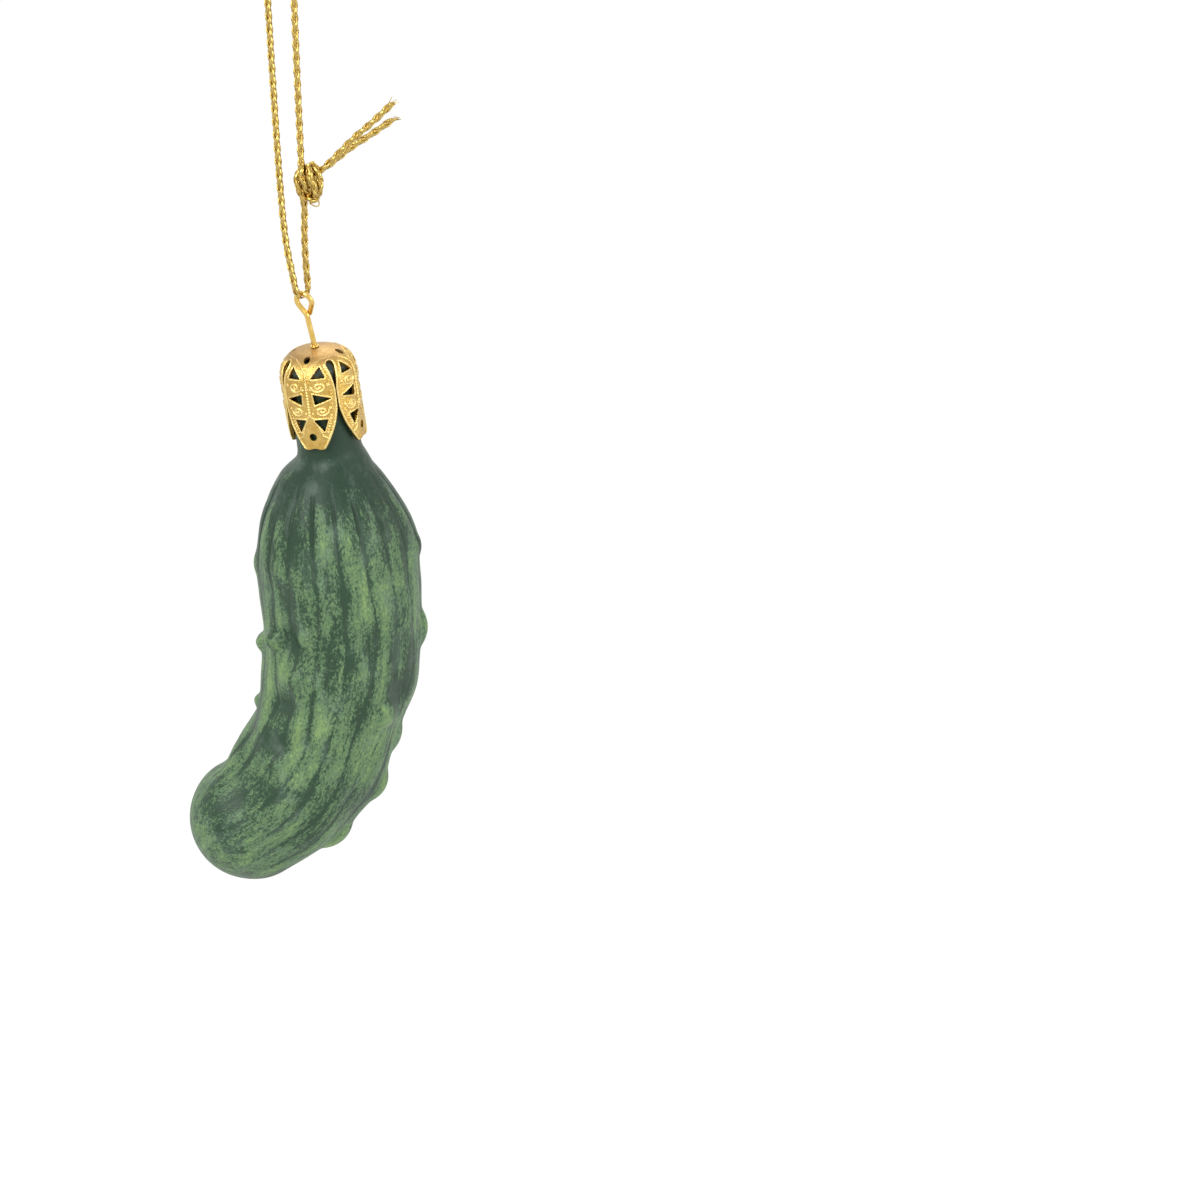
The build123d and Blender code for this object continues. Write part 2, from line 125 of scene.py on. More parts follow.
# Warts and hollows: distance down the spine, azimuth from the right to the front, radius, height or depth
WARTS = [
    (12.7, 4, 2.0, 0.5),
    (22.1, 2, 2.1, 1.1),
    (29.7, 47, 1.7, 1.2),
    (33.5, 8, 1.9, 0.8),
    (38.5, 8, 1.8, 0.85),
    (44.3, 8, 1.9, 1.1),
    (13.0, 178, 2.2, 0.4),
    (25.1, 184, 1.6, 1.0),
    (22.4, 149, 1.4, 1.25),
    (34.3, 182, 1.1, 0.6),
    (39.7, 126, 1.8, 0.4),
    (21.1, 121, 1.7, 0.65),
    (26.9, 125, 1.8, 0.7),
    (33.1, 116, 1.9, 0.6),
    (15.5, 262, 2.0, 0.6),
    (20.2, 318, 1.7, 0.65),
    (25.6, 240, 1.8, 0.65),
    (31.4, 290, 1.9, 0.7),
    (37.6, 236, 1.7, 0.6),
    (43.6, 300, 1.8, 0.65),
]
WART_FOOT = 0.18
WART_FALL = 3.0
BALL_SHARE = 0.5
HOLLOWS = [
    (10.3, 117, 2.6, 0.3),
    (15.0, 136, 2.2, 0.55),
    (21.9, 135, 1.8, 0.85),
    (31.7, 135, 1.9, 0.75),
    (37.1, 131, 2.0, 0.42),
    (44.2, 131, 2.0, 0.3),
    (27.7, 38, 1.7, 0.6),
    (28.0, 250, 2.2, 0.35),
    (36.5, 300, 2.0, 0.3),
]
# Share of the hollows' depth by which the leaf green is held back in them, as painted shade
HOLLOW_PAINT = 1.2

# Pierced cap, with heights above the seam
CAP_RADIUS = 4.6
CAP_SHEET = 0.35
CAP_CROWN_SLOPE = math.radians(8.0)
CAP_CORNER_RADIUS = 3.0
# Table of the cap's profile: height of the crown's cone, samples on it and below it
CONE_DROP = 0.224
CONE_SAMPLES = 40
SIDE_SAMPLES = 900
# Runs from the apex between which the plain crown gives way to the petals' finish
CROWN_FADE = (2.6, 4.0)
PETAL_COUNT = 4
PETAL_AZIMUTH = math.radians(-20.4)
PETAL_TIP = 1.9
CAP_HOLE_RADIUS = 0.42
TIP_HOLE_RADIUS = 0.47
TIP_HOLE_HEIGHT = 3.54
CROWN_HOLE_HALF = (0.4, 0.58)
CROWN_HOLE_HEIGHT = 12.78
HOLE_CORNER = 0.15
# Corners of the three piercings on one side of a petal's rib: distance from the rib, height
PETAL_PIERCINGS = [
    [(1.64, 12.15), (0.65, 10.85), (2.33, 10.85)],
    [(0.7, 8.95), (0.8, 7.6), (2.73, 8.2)],
    [(0.47, 5.7), (2.1, 5.65), (1.52, 4.1)],
]
# Half width of the gap between petals at heights above the seam, from its round head past the tips
SLOT_EDGE = [
    (0.485, 12.1), (0.38, 11.5), (0.23, 10.5), (0.06, 9.2), (0.07, 8.0), (0.11, 7.0), (0.35, 5.85),
    (0.72, 4.7), (1.33, 3.45), (2.2, 2.0), (3.1, 0.7),
]
SLOT_HEAD_RISE = 0.42
# Scalloped edge of a petal's tip, from its corner to the rib: distance from the rib, rise above the corner
TIP_EDGE = [(1.08, 0.0), (0.66, 0.02), (0.34, 0.14), (0.0, 0.18)]
TIP_ROUNDING = 0.1
# Stamped scrolls between the rows of piercings: distance from the rib, height, size, way round
SCROLLS = [(1.5, 9.8, 0.9, 1), (1.55, 6.75, 0.85, -1)]
SCROLL_TURNS = 1.5
SCROLL_EYE = 0.15
SCROLL_FLATNESS = 0.72
# Stamped lines on one side of the rib, by their corners: distance from the rib, height
RELIEF_LINES = [
    [(0.0, 6.1), (0.36, 5.95), (0.9, 4.9), (1.3, 3.6), (1.75, 3.3)],
    [(0.0, 10.2), (0.0, 11.5), (0.7, 12.35), (1.5, 12.75), (2.6, 12.7)],
    [(0.0, 6.1), (0.0, 11.5)],
]
# Sections of the stamped ridges: distance from the edge or line that they follow, half width, height
LIP_RIDGE = (0.12, 0.15, 0.09)
RIM_RIDGE = (0.14, 0.2, 0.13)
LINE_RIDGE = (0.0, 0.17, 0.085)
SCROLL_RIDGE = (0.0, 0.19, 0.12)
# Single beads: distance from the rib, height, radius, rise
BEADS = [(2.55, 9.95, 0.22, 0.12), (0.45, 9.5, 0.15, 0.1), (2.5, 7.0, 0.2, 0.12), (0.45, 6.5, 0.15, 0.1)]
# Rows of beads: count, place of the first, step to the next, radius and rise
BEAD_ROWS = [
    (12, (0.0, 6.3), (0.0, 0.36), (0.17, 0.15)),
    (4, (0.5, 5.55), (0.24, -0.5), (0.13, 0.12)),
    (7, (2.5, 6.1), (-0.1, -0.34), (0.13, 0.13)),
]
# How far each petal's tip is bent outwards, or inwards where negative: front, right, back, left
PETAL_BENDS = (-0.15, 0.0, -0.15, -0.42)
BEND_START = 8.0
SHEET_STEP = 0.072
INSIDE_STEP = 0.5
EDGE_CLEAR_SHARE = 0.55
EDGE_CLEAR_MOST = 0.088
# Rolled ring on the crown
EYELET_RADIUS = 0.44
EYELET_ROLL = 0.1
EYELET_LIFT = 0.06

# Eye pin
WIRE_RADIUS = 0.325
EYE_RADIUS = 1.02
EYE_DROP = 1.75
EYE_NECK_RADIUS = 0.5
EYE_END_LEAN = math.radians(13.5)
EYE_END_RUN = 0.35
PIN_DEPTH = 0.7
HEAD_RADIUS = 0.95
HEAD_THICKNESS = 0.35
HEAD_EDGE = 0.9
WIRE_END_SHARE = 0.72
WIRE_END_POINTS = 3
WIRE_STEP = 0.08

# Cord: control points from the eye centre.  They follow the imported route, apart from the knot's own turns
# and the bight in the eye, which is drawn higher and squeezed under the wire
CORD_DIAMETER = 0.85
HOOK_DIAMETER = 2.55
LOOP_HALF_WIDTH = (HOOK_DIAMETER + CORD_DIAMETER) / 2
LOOP_TOP = CORD_DIAMETER / 2 - EYE_CENTRE[2]
LOOP_MIDDLE = -EYE_CENTRE[0]
LOOP_STRAIGHT = 6 * CORD_DIAMETER
EYE_BIGHT = (-0.675, -0.804, 0.47)
EYE_SQUEEZE = 0.7
EYE_SQUEEZE_RUN = 1.0
KNOT_CENTRE = np.array([1.05, 0.05, 14.8])
LONG_TAIL = [(3.3, -0.65, 17.1), (6.8, -0.9, 20.8), (9.0, -1.1, 22.6), (11.3, -1.3, 24.9)]
SHORT_TAIL = [(3.6, 0.55, 16.8), (6.2, 0.7, 18.9), (8.6, 0.8, 20.3), (11.3, 1.0, 22.1)]
UPPER_STRAND = [(0.15, 0.05, 30.0)]
FRONT_STRAND = [
    (-3.1, -0.1, 42.0), (-2.75, -0.2, 28.5), (-2.35, -0.4, 15.5), (-1.95, -0.6, 8.2), (-1.3, -0.8, 4.2),
]
BACK_STRAND = [(0.45, 0.85, 3.6), (0.35, 0.6, 8.0)]
# Turns inside the knot, from its centre: down from the loop and round, and up from the eye and round
KNOT_FROM_LOOP = [
    (-0.75, -0.15, 2.9), (-0.75, -0.75, 1.3), (-0.45, -1.2, 0.2), (0.1, -0.4, -1.0), (0.45, 0.9, -1.7),
    (0.35, 1.3, 0.0), (0.0, 0.7, 2.0), (0.1, -0.9, 2.2), (0.4, -1.6, 0.8), (0.95, -1.4, -0.7),
    (0.85, -0.4, -2.0), (0.2, 0.8, -1.8), (0.45, 1.0, 0.2), (1.1, 0.3, 1.2),
]
KNOT_FROM_EYE = [
    (-0.5, 0.3, -2.9), (-0.7, -0.2, -1.7), (-1.35, -0.4, -0.1), (-1.25, -0.1, 1.4), (-0.5, 0.5, 1.9),
    (0.0, 1.0, 1.4), (0.6, 0.6, 2.2), (1.1, -0.5, 1.8), (1.5, -0.9, 0.6), (1.25, -0.7, -1.3),
    (0.4, -0.6, -2.2), (-0.3, 0.2, -1.6), (0.3, 1.0, -0.3), (0.9, 0.8, 0.9),
]
KNOT_CORE_RADIUS = 1.1
KNOT_CORE_HALF_HEIGHT = 1.7
KNOT_CORE_SHIFT = (0.1, 0.2, 0.0)

# Braid of flat foil strands
BRAID_PITCH = 3.3
BRAID_RADIUS = 0.275
BRAID_WAVE = 0.075
CORE_RADIUS = 0.19
STRAND_HALF_WIDTH = 0.24
STRAND_HALF_THICKNESS = 0.105
STRAND_STEP = 0.11
STRAND_SIDES = 8

# Loose filaments: stray loops from the knot's centre, by start, bow and end, and a brush at each cut end
STRAY_LOOPS = [
    ((0.1, -0.5, 2.1), (0.6, -0.6, 3.7), (1.1, -0.4, 2.0)),
    ((0.0, -0.6, -2.3), (1.6, -0.7, -3.4), (1.1, -0.6, -1.7)),
]
STRAY_RADIUS = 0.08
BRUSH_SEED = 5
BRUSH_COUNT = 9
BRUSH_RADIUS = 0.045
BRUSH_SPREAD = 0.22
BRUSH_REACH = (0.35, 1.0)
BRUSH_ROOT = 0.4
BRUSH_SCATTER = 0.14
BRUSH_DROOP = (0.0, 0.0, -0.12)

# Colours; a pair runs from deep to pale
GROUND_GREEN = "#1b3527"
LEAF_GREEN = "#617f5b"
BRIGHT_GREEN = "#82a066"
# Grey of the painted sheen on the satin paint
GREY_BLOOM = "#8a9f92"
# The cap's pair runs from painted shade in the hollows to a painted highlight on the raised stamping
CAP_GILT = ("#c39b48", "#f3d98f")
CROWN_BROWN = "#a88857"
WIRE_GILT = ("#d2a94c", "#f0d283")
GLUE_GREENS = ("#1c2822", "#36473d")
YARN_GOLD = ("#84611a", "#f2d680")
PAPER_WHITE = "#f2f2f0"

# Camera, floor and light, in metres; the middle of the frame, from the eye, and the sensor are in millimetres
CAMERA_ELEVATION = math.radians(20.0)
CAMERA_ROLL = math.radians(1.85)
CAMERA_DISTANCE = 5.0
FRAME_WIDTH = 0.1424
FRAME_MIDDLE = (34.03, -36.59)
SENSOR_WIDTH = 36.0
FLOOR_LEVEL = -0.25
FLOOR_SIZE = 6.0
# The floor's glow and the surroundings' strength, as seen and as light
SEEN_GLOW = 1.04
SEEN_GLOW_SHARE = 0.9
SKY_STRENGTH = 0.42
SKY_SEEN = 1.0
# Soft panels: name, place, width, power; all face the same place
PANELS = [
    ("left_panel", (-0.45, -0.55, 0.45), 0.45, 4.8),
    ("right_panel", (0.6, -0.35, 0.1), 0.4, 1.8),
    ("back_panel", (0.1, 0.6, 0.5), 0.5, 2.0),
]
LIT_PLACE = (0.0, 0.0, -0.085)


def unit(vectors):
    """Vectors scaled to length one along the last axis."""
    return vectors / np.linalg.norm(vectors, axis=-1, keepdims=True)


def smooth_step(low, high, values):
    """0 below low, 1 above high, and an S-shaped cubic between them."""
    share = np.clip((values - low) / (high - low), 0.0, 1.0)
    return share * share * (3.0 - 2.0 * share)


def eased(values, softness):
    """Values above zero as they are and the rest as zero, with the corner between them rounded."""
    return softness * np.logaddexp(0.0, values / softness)


def smooth_through(places, known_places, known_values):
    """Cubic through known values, with each slope taken from the two neighbours and level at both ends."""
    known_places = np.asarray(known_places)
    known_values = np.asarray(known_values)
    slopes = np.gradient(known_values, known_places)
    slopes[[0, -1]] = 0.0
    left = np.clip(np.searchsorted(known_places, places) - 1, 0, len(known_places) - 2)
    gap = known_places[left + 1] - known_places[left]
    share = np.clip((places - known_places[left]) / gap, 0.0, 1.0)
    rest = 1.0 - share
    return (
        known_values[left] * rest**2 * (1 + 2 * share)
        + known_values[left + 1] * share**2 * (3 - 2 * share)
        + slopes[left] * gap * share * rest**2
        - slopes[left + 1] * gap * share**2 * rest
    )


def grid_faces(rows, columns):
    """Quads between neighbouring rows of a grid whose last column joins its first."""
    index = np.arange(rows * columns).reshape(rows, columns)
    beside = np.roll(index, -1, axis=1)
    return np.stack([index[:-1], beside[:-1], beside[1:], index[1:]], axis=-1).reshape(-1, 4)


def closed_faces(rows, columns):
    """Faces of such a grid and, at its two ends, fans of triangles to two points that follow the grid's."""
    count = rows * columns
    first_ring = np.arange(columns)
    last_ring = first_ring + count - columns
    first_fan = np.stack([np.roll(first_ring, -1), first_ring, np.full(columns, count)], axis=-1)
    last_fan = np.stack([last_ring, np.roll(last_ring, -1), np.full(columns, count + 1)], axis=-1)
    return grid_faces(rows, columns).tolist() + first_fan.tolist() + last_fan.tolist()


def make_mesh(name, points, faces):
    """Mesh of points in millimetres, stored in metres, with smooth shading."""
    mesh = bpy.data.meshes.new(name)
    mesh.from_pydata((points * MM).tolist(), [], faces)
    mesh.shade_smooth()
    return mesh


def add_layer(mesh, name, values):
    """One number for each point of a mesh, for its material to read."""
    mesh.attributes.new(name, "FLOAT", "POINT").data.foreach_set("value", values)


def linked(name, data):
    """Object for a mesh, a camera or a lamp, in the scene."""
    made = bpy.data.objects.new(name, data)
    bpy.context.scene.collection.objects.link(made)
    return made


def add_piece(name, mesh, material, body, slot, *replaced):
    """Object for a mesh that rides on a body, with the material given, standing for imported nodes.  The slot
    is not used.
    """
    piece = linked(name, mesh)
    piece.data.materials.append(material)
    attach(piece, body)
    if replaced:
        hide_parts(*replaced)
    return piece


def carried_frames(path):
    """Two directions square to a path at each point, turned back by the twist that a fixed axis gives.

    Normals square to a fixed axis are carried from each point to the next; the angles by which they
    miss are added up and taken off, so that the directions turn no more than the path does.
    """
    fixed_axis = np.array([0.31, 0.17, 0.93])
    tangents = unit(np.gradient(path, axis=0))
    normals = unit(np.cross(tangents, fixed_axis))
    binormals = np.cross(tangents, normals)
    middle = unit(tangents[:-1] + tangents[1:])
    carried = normals[:-1] - 2 * np.sum(normals[:-1] * middle, axis=1, keepdims=True) * middle
    carried = carried - 2 * np.sum(carried * tangents[1:], axis=1, keepdims=True) * tangents[1:]
    miss = np.arctan2(np.sum(carried * binormals[1:], axis=1), np.sum(carried * normals[1:], axis=1))
    turn = np.concatenate([[0.0], np.cumsum(miss)])[:, None]
    across = normals * np.cos(turn) + binormals * np.sin(turn)
    above = binormals * np.cos(turn) - normals * np.sin(turn)
    return across, above


def resampled(path, step):
    """The same line with points a step apart, and the distance of each along it."""
    runs = np.linalg.norm(np.diff(path, axis=0), axis=1)
    along = np.concatenate([[0.0], np.cumsum(runs)])
    places = np.linspace(0.0, along[-1], int(along[-1] / step) + 1)
    return np.stack([np.interp(places, along, path[:, axis]) for axis in range(3)], axis=1), places


def round_tube(path, radii, sides):
    """Points and faces of a round tube along a path, closed at both ends by a fan."""
    across, above = carried_frames(path)
    angles = np.linspace(0.0, 2 * math.pi, sides, endpoint=False)[None, :, None]
    spokes = across[:, None] * np.cos(angles) + above[:, None] * np.sin(angles)
    rings = path[:, None] + spokes * np.asarray(radii)[:, None, None]
    points = np.concatenate([rings.reshape(-1, 3), path[:1], path[-1:]])
    return points, closed_faces(len(path), sides)


def joined(parts):
    """Points and faces of several surfaces as one."""
    counts = np.cumsum([0] + [len(points) for points, _ in parts])
    points = np.concatenate([points for points, _ in parts])
    faces = [[corner + shift for corner in face] for (_, some), shift in zip(parts, counts) for face in some]
    return points, faces


def linear(colour):
    """Linear colour, with alpha, of an sRGB hex value."""
    parts = np.array([int(colour[place:place + 2], 16) for place in (1, 3, 5)]) / 255
    parts = np.where(parts <= 0.04045, parts / 12.92, ((parts + 0.055) / 1.055) ** 2.4)
    return (*parts.tolist(), 1.0)


def add(tree, kind, sockets=(), **settings):
    """One node of a kind, with its settings, and a value or a link for each socket named or numbered."""
    made = tree.nodes.new(kind)
    for setting, value in settings.items():
        setattr(made, setting, value)
    for socket, value in dict(sockets).items():
        if isinstance(value, bpy.types.NodeSocket):
            tree.links.new(value, made.inputs[socket])
        else:
            made.inputs[socket].default_value = value
    return made


def new_material(name):
    """Empty node material and its tree."""
    material = bpy.data.materials.new(name)
    material.use_nodes = True
    material.node_tree.nodes.clear()
    return material, material.node_tree


def set_finish(tree, sockets):
    """Principled shader with these inputs as the surface of a material."""
    shader = add(tree, "ShaderNodeBsdfPrincipled", sockets)
    add(tree, "ShaderNodeOutputMaterial", {"Surface": shader.outputs[0]})


def mesh_layer(tree, name, output="Fac"):
    """Socket that gives an attribute of the mesh."""
    return add(tree, "ShaderNodeAttribute", attribute_name=name).outputs[output]


def object_noise(tree, size, detail, roughness):
    """Socket of a noise that is fixed to the object, with a size in millimetres."""
    place = add(tree, "ShaderNodeTexCoord")
    return add(tree, "ShaderNodeTexNoise", {
        "Vector": place.outputs["Object"], "Scale": 1 / (size * MM), "Detail": detail, "Roughness": roughness,
    }).outputs[0]


def ranged(tree, value, low, high, to_low=0.0, to_high=1.0, **settings):
    """Socket of a value taken from one range to another and held inside it."""
    return add(tree, "ShaderNodeMapRange", {
        0: value, 1: low, 2: high, 3: to_low, 4: to_high,
    }, **settings).outputs[0]


def worked(tree, operation, *values):
    """Socket of an operation on values or other sockets."""
    return add(tree, "ShaderNodeMath", enumerate(values), operation=operation).outputs[0]


def mixed(tree, share, first, second):
    """Socket of a colour between two by a share; each of them is a hex value or another socket."""
    first, second = [linear(colour) if isinstance(colour, str) else colour for colour in (first, second)]
    return add(tree, "ShaderNodeMix", {0: share, 6: first, 7: second}, data_type="RGBA").outputs[2]


def bumped(tree, height, strength, distance):
    """Socket of a normal that follows a height, with a distance in millimetres."""
    return add(tree, "ShaderNodeBump", {
        "Height": height, "Strength": strength, "Distance": distance * MM,
    }).outputs[0]


# Painted glass


def spine(distance):
    """Centres, right-hand directions and headings of the pickle at distances down its spine.

    A straight run is followed by two arcs and another straight run; along an arc the heading turns
    steadily, so the place is the integral of the heading's sine and cosine.  The neck has a line of its
    own, and at its foot an S-shaped share leads from the one to the other.
    """
    heading = BODY_LEAN
    start = 0.0
    body = np.tile(SPINE_TOP, (len(distance), 1))
    turned = np.full(len(distance), BODY_LEAN)
    lengths = [(STRAIGHT_LENGTH, 0.0)]
    lengths += [(radius * angle, 1 / radius) for radius, angle in BENDS]
    lengths += [(2 * END_RADIUS, 0.0)]
    for length, curvature in lengths:
        run = np.clip(distance - start, 0.0, length)
        if curvature:
            ending = heading - curvature * run
            body[:, 0] += (np.cos(ending) - math.cos(heading)) / curvature
            body[:, 2] += (np.sin(ending) - math.sin(heading)) / curvature
        else:
            body[:, 0] += run * math.sin(heading)
            body[:, 2] -= run * math.cos(heading)
        turned -= curvature * run
        heading -= curvature * length
        start += length
    share = smooth_step(0.0, NECK_BLEND, distance)
    neck = SEAM - NECK_UP * distance[:, None]
    centre = neck + share[:, None] * (body - neck)
    turned = NECK_LEAN + share * (turned - NECK_LEAN)
    level = np.zeros(len(distance))
    right = np.stack([np.cos(turned), level, np.sin(turned)], axis=1)
    along = np.stack([np.sin(turned), level, -np.cos(turned)], axis=1)
    return centre, right, along


def body_radius(distance):
    """Radius at distances down the spine: neck, a parabola at the shoulder, the stations, a round end."""
    rest = np.clip(1 - distance / SHOULDER_LENGTH, 0.0, None)
    shoulder = (SHOULDER_RADIUS - NECK_RADIUS) * (1 - rest**2)
    risen = NECK_RADIUS + eased(shoulder, SEAM_FILLET)
    places = [STRAIGHT_LENGTH + share * BEND_LENGTH for share, _ in BODY_STATIONS]
    body = smooth_through(distance, places, [radius for _, radius in BODY_STATIONS])
    beyond = np.clip(distance - END_START, 0.0, END_RADIUS)
    end = np.sqrt(END_RADIUS**2 - beyond**2)
    return np.where(distance < STRAIGHT_LENGTH, risen, np.where(distance < END_START, body, end))


def pleat_crease(distance, azimuth):
    """1 in the creases between the shoulder's pleats and 0 on their backs, wandering a little."""
    wander = sum(size * np.sin(turns * azimuth + rate * distance) for size, turns, rate in CREASE_WANDERS)
    phase = PLEAT_COUNT / 2 * (azimuth - PLEAT_AZIMUTH) + wander * smooth_step(*WANDER_BEGIN, distance)
    across = np.sin(phase)
    sharp = np.exp(-((across / CREASE_WIDTH) ** 2))
    return CREASE_SHARE * sharp + (1 - CREASE_SHARE) * (1 - across**2)


def pleat_depth(distance):
    """Depth of the creases: deepest below the neck, then fading to shallow furrows and to nothing."""
    deep = FURROW_SHARE + (1 - FURROW_SHARE) * np.exp(-(((distance - DEEPEST_PLACE) / DEEPEST_RUN) ** 2))
    shown = smooth_step(*PLEAT_BEGIN, distance) * (1 - smooth_step(*PLEAT_FADE, distance))
    return PLEAT_DEPTH * deep * shown


def apart_on_skin(distance, azimuth, radius, place, turn):
    """Distance over the skin from a place on it, taken as flat nearby."""
    beside = (azimuth - math.radians(turn) + math.pi) % (2 * math.pi) - math.pi
    return np.hypot(radius * beside, distance - place)


def wart_rise(distance, azimuth, radius):
    """Height of the warts: each is part a sunk ball with an eased foot and part a bell curve."""
    rise = np.zeros(np.broadcast(distance, azimuth).shape)
    for place, turn, reach, height in WARTS:
        apart = apart_on_skin(distance, azimuth, radius, place, turn)
        dome = np.sqrt(np.clip(reach**2 - apart**2, 0.0, None)) - reach + height
        dome -= WART_FALL * np.clip(apart - reach, 0.0, None)
        bell = height * np.exp(-((apart / reach) ** 2))
        rise += BALL_SHARE * eased(dome, WART_FOOT) + (1 - BALL_SHARE) * bell
    return rise


def hollow_depth(distance, azimuth, radius):
    """Depth of the pressed hollows: each a bell curve of the distance from its middle."""
    depth = np.zeros(np.broadcast(distance, azimuth).shape)
    for place, turn, reach, deep in HOLLOWS:
        depth += deep * np.exp(-((apart_on_skin(distance, azimuth, radius, place, turn) / reach) ** 2))
    return depth


def lumps(distance, azimuth):
    """Slow swells of the mould: cosines of a few turns round and a few waves along, with seeded phases."""
    draw = np.random.default_rng(SWELL_SEED)
    swell = np.zeros(np.broadcast(distance, azimuth).shape)
    for _ in range(SWELL_COUNT):
        turns = draw.integers(*SWELL_TURNS)
        wave = 2 * math.pi / draw.uniform(*SWELL_WAVES)
        swell += np.cos(turns * azimuth + wave * distance + draw.uniform(0, 2 * math.pi))
    shown = smooth_step(*SWELL_BEGIN, distance) * (1 - smooth_step(*SWELL_FADE, distance))
    return SWELL_HEIGHT * swell * shown


def glass_section():
    """Distance down the spine and radius along the wall's section, and the number of its outer points.

    The line runs from the outer tip up to the neck's rim, over it on two quarter circles, and down the
    inner wall, which keeps the wall's thickness from the outer one, to the inner tip.
    """
    closing = np.radians(np.linspace(LAST_ROW_ANGLE, 0.0, END_ROWS, endpoint=False))
    closing_inside = closing[::-INSIDE_STRIDE]
    rim_start = RIM_RADIUS - NECK_HEIGHT
    outer = np.concatenate([
        END_START + END_RADIUS * np.sin(closing),
        np.linspace(END_START, 0.0, BODY_ROWS, endpoint=False),
        np.linspace(0.0, rim_start, NECK_ROWS),
    ])
    rounding = np.radians(np.linspace(90.0 / RIM_ROWS, 90.0, RIM_ROWS))
    rim_place = rim_start - RIM_RADIUS * np.sin(rounding)
    rim_inset = RIM_RADIUS * (1 - np.cos(rounding))
    inner = np.linspace(rim_start, END_START, INSIDE_ROWS)
    thickness = np.where(inner < 0, NECK_WALL, WALL)
    distance = np.concatenate([
        outer, rim_place, rim_place[::-1], inner, END_START + (END_RADIUS - WALL) * np.sin(closing_inside),
    ])
    radius = np.concatenate([
        body_radius(outer), NECK_RADIUS - rim_inset, NECK_RADIUS - NECK_WALL + rim_inset[::-1],
        body_radius(inner) - thickness, (END_RADIUS - WALL) * np.cos(closing_inside),
    ])
    return distance, radius, len(outer)


def painted_glass_pickle():
    """Closed skin of the hollow pickle, with what its paint and its painted shade follow as attributes.

    Rows follow the wall's section and columns run round.  A point is its row's centre plus the radius
    times the spoke at its azimuth; the outer rows are then moved along the normal by the pleats, warts,
    hollows and swells.  The attribute skin is the place on the pickle straightened to a cylinder of
    SKIN_RADIUS, whose end closes as the pickle's does.
    """
    distance, radius, outer = glass_section()
    centre, right, along = spine(distance)
    azimuth = np.linspace(0.0, 2 * math.pi, GLASS_COLUMNS, endpoint=False)[None, :]
    spokes = right[:, None] * np.cos(azimuth)[..., None] + FRONT * np.sin(azimuth)[..., None]
    rows = distance[:, None]
    reach = radius[:, None]
    crease = pleat_crease(rows, azimuth)
    depth = pleat_depth(rows)
    warts = wart_rise(rows, azimuth, reach)
    hollows = hollow_depth(rows, azimuth, reach)
    moved = warts - hollows + lumps(rows, azimuth) - depth * crease
    moved[outer:] = 0.0
    run = np.gradient(np.concatenate([[0.0], np.cumsum(np.hypot(np.diff(distance), np.diff(radius)))]))
    slope_along = np.gradient(distance) / run
    slope_out = np.gradient(radius) / run
    normal = -spokes * slope_along[:, None, None] + along[:, None] * slope_out[:, None, None]
    points = centre[:, None] + spokes * radius[:, None, None] + normal * moved[..., None]
    tips = np.stack([points[0].mean(axis=0), points[-1].mean(axis=0)])
    faces = [face[::-1] for face in closed_faces(len(distance), GLASS_COLUMNS)]
    mesh = make_mesh("pickle", np.concatenate([points.reshape(-1, 3), tips]), faces)
    girth = SKIN_RADIUS * np.minimum(reach / END_RADIUS, 1.0)
    skin = np.stack(np.broadcast_arrays(girth * np.cos(azimuth), girth * np.sin(azimuth), rows), axis=-1)
    tip_skin = np.array([[0.0, 0.0, distance[0]], [0.0, 0.0, distance[-1]]])
    layer = mesh.attributes.new("skin", "FLOAT_VECTOR", "POINT")
    layer.data.foreach_set("vector", np.concatenate([skin.reshape(-1, 3), tip_skin]).ravel())
    # The creases hold back the brushed paint; the hollows in this layer are darkened as painted shade
    low = crease * depth / PLEAT_DEPTH + HOLLOW_PAINT * hollows
    furrow = crease * (1 - smooth_step(*FURROW_PAINT_FADE, rows))
    for name, values in (("furrow", furrow), ("low", low), ("wart", warts)):
        add_layer(mesh, name, np.concatenate([values.ravel(), [0.0, 0.0]]))
    return mesh


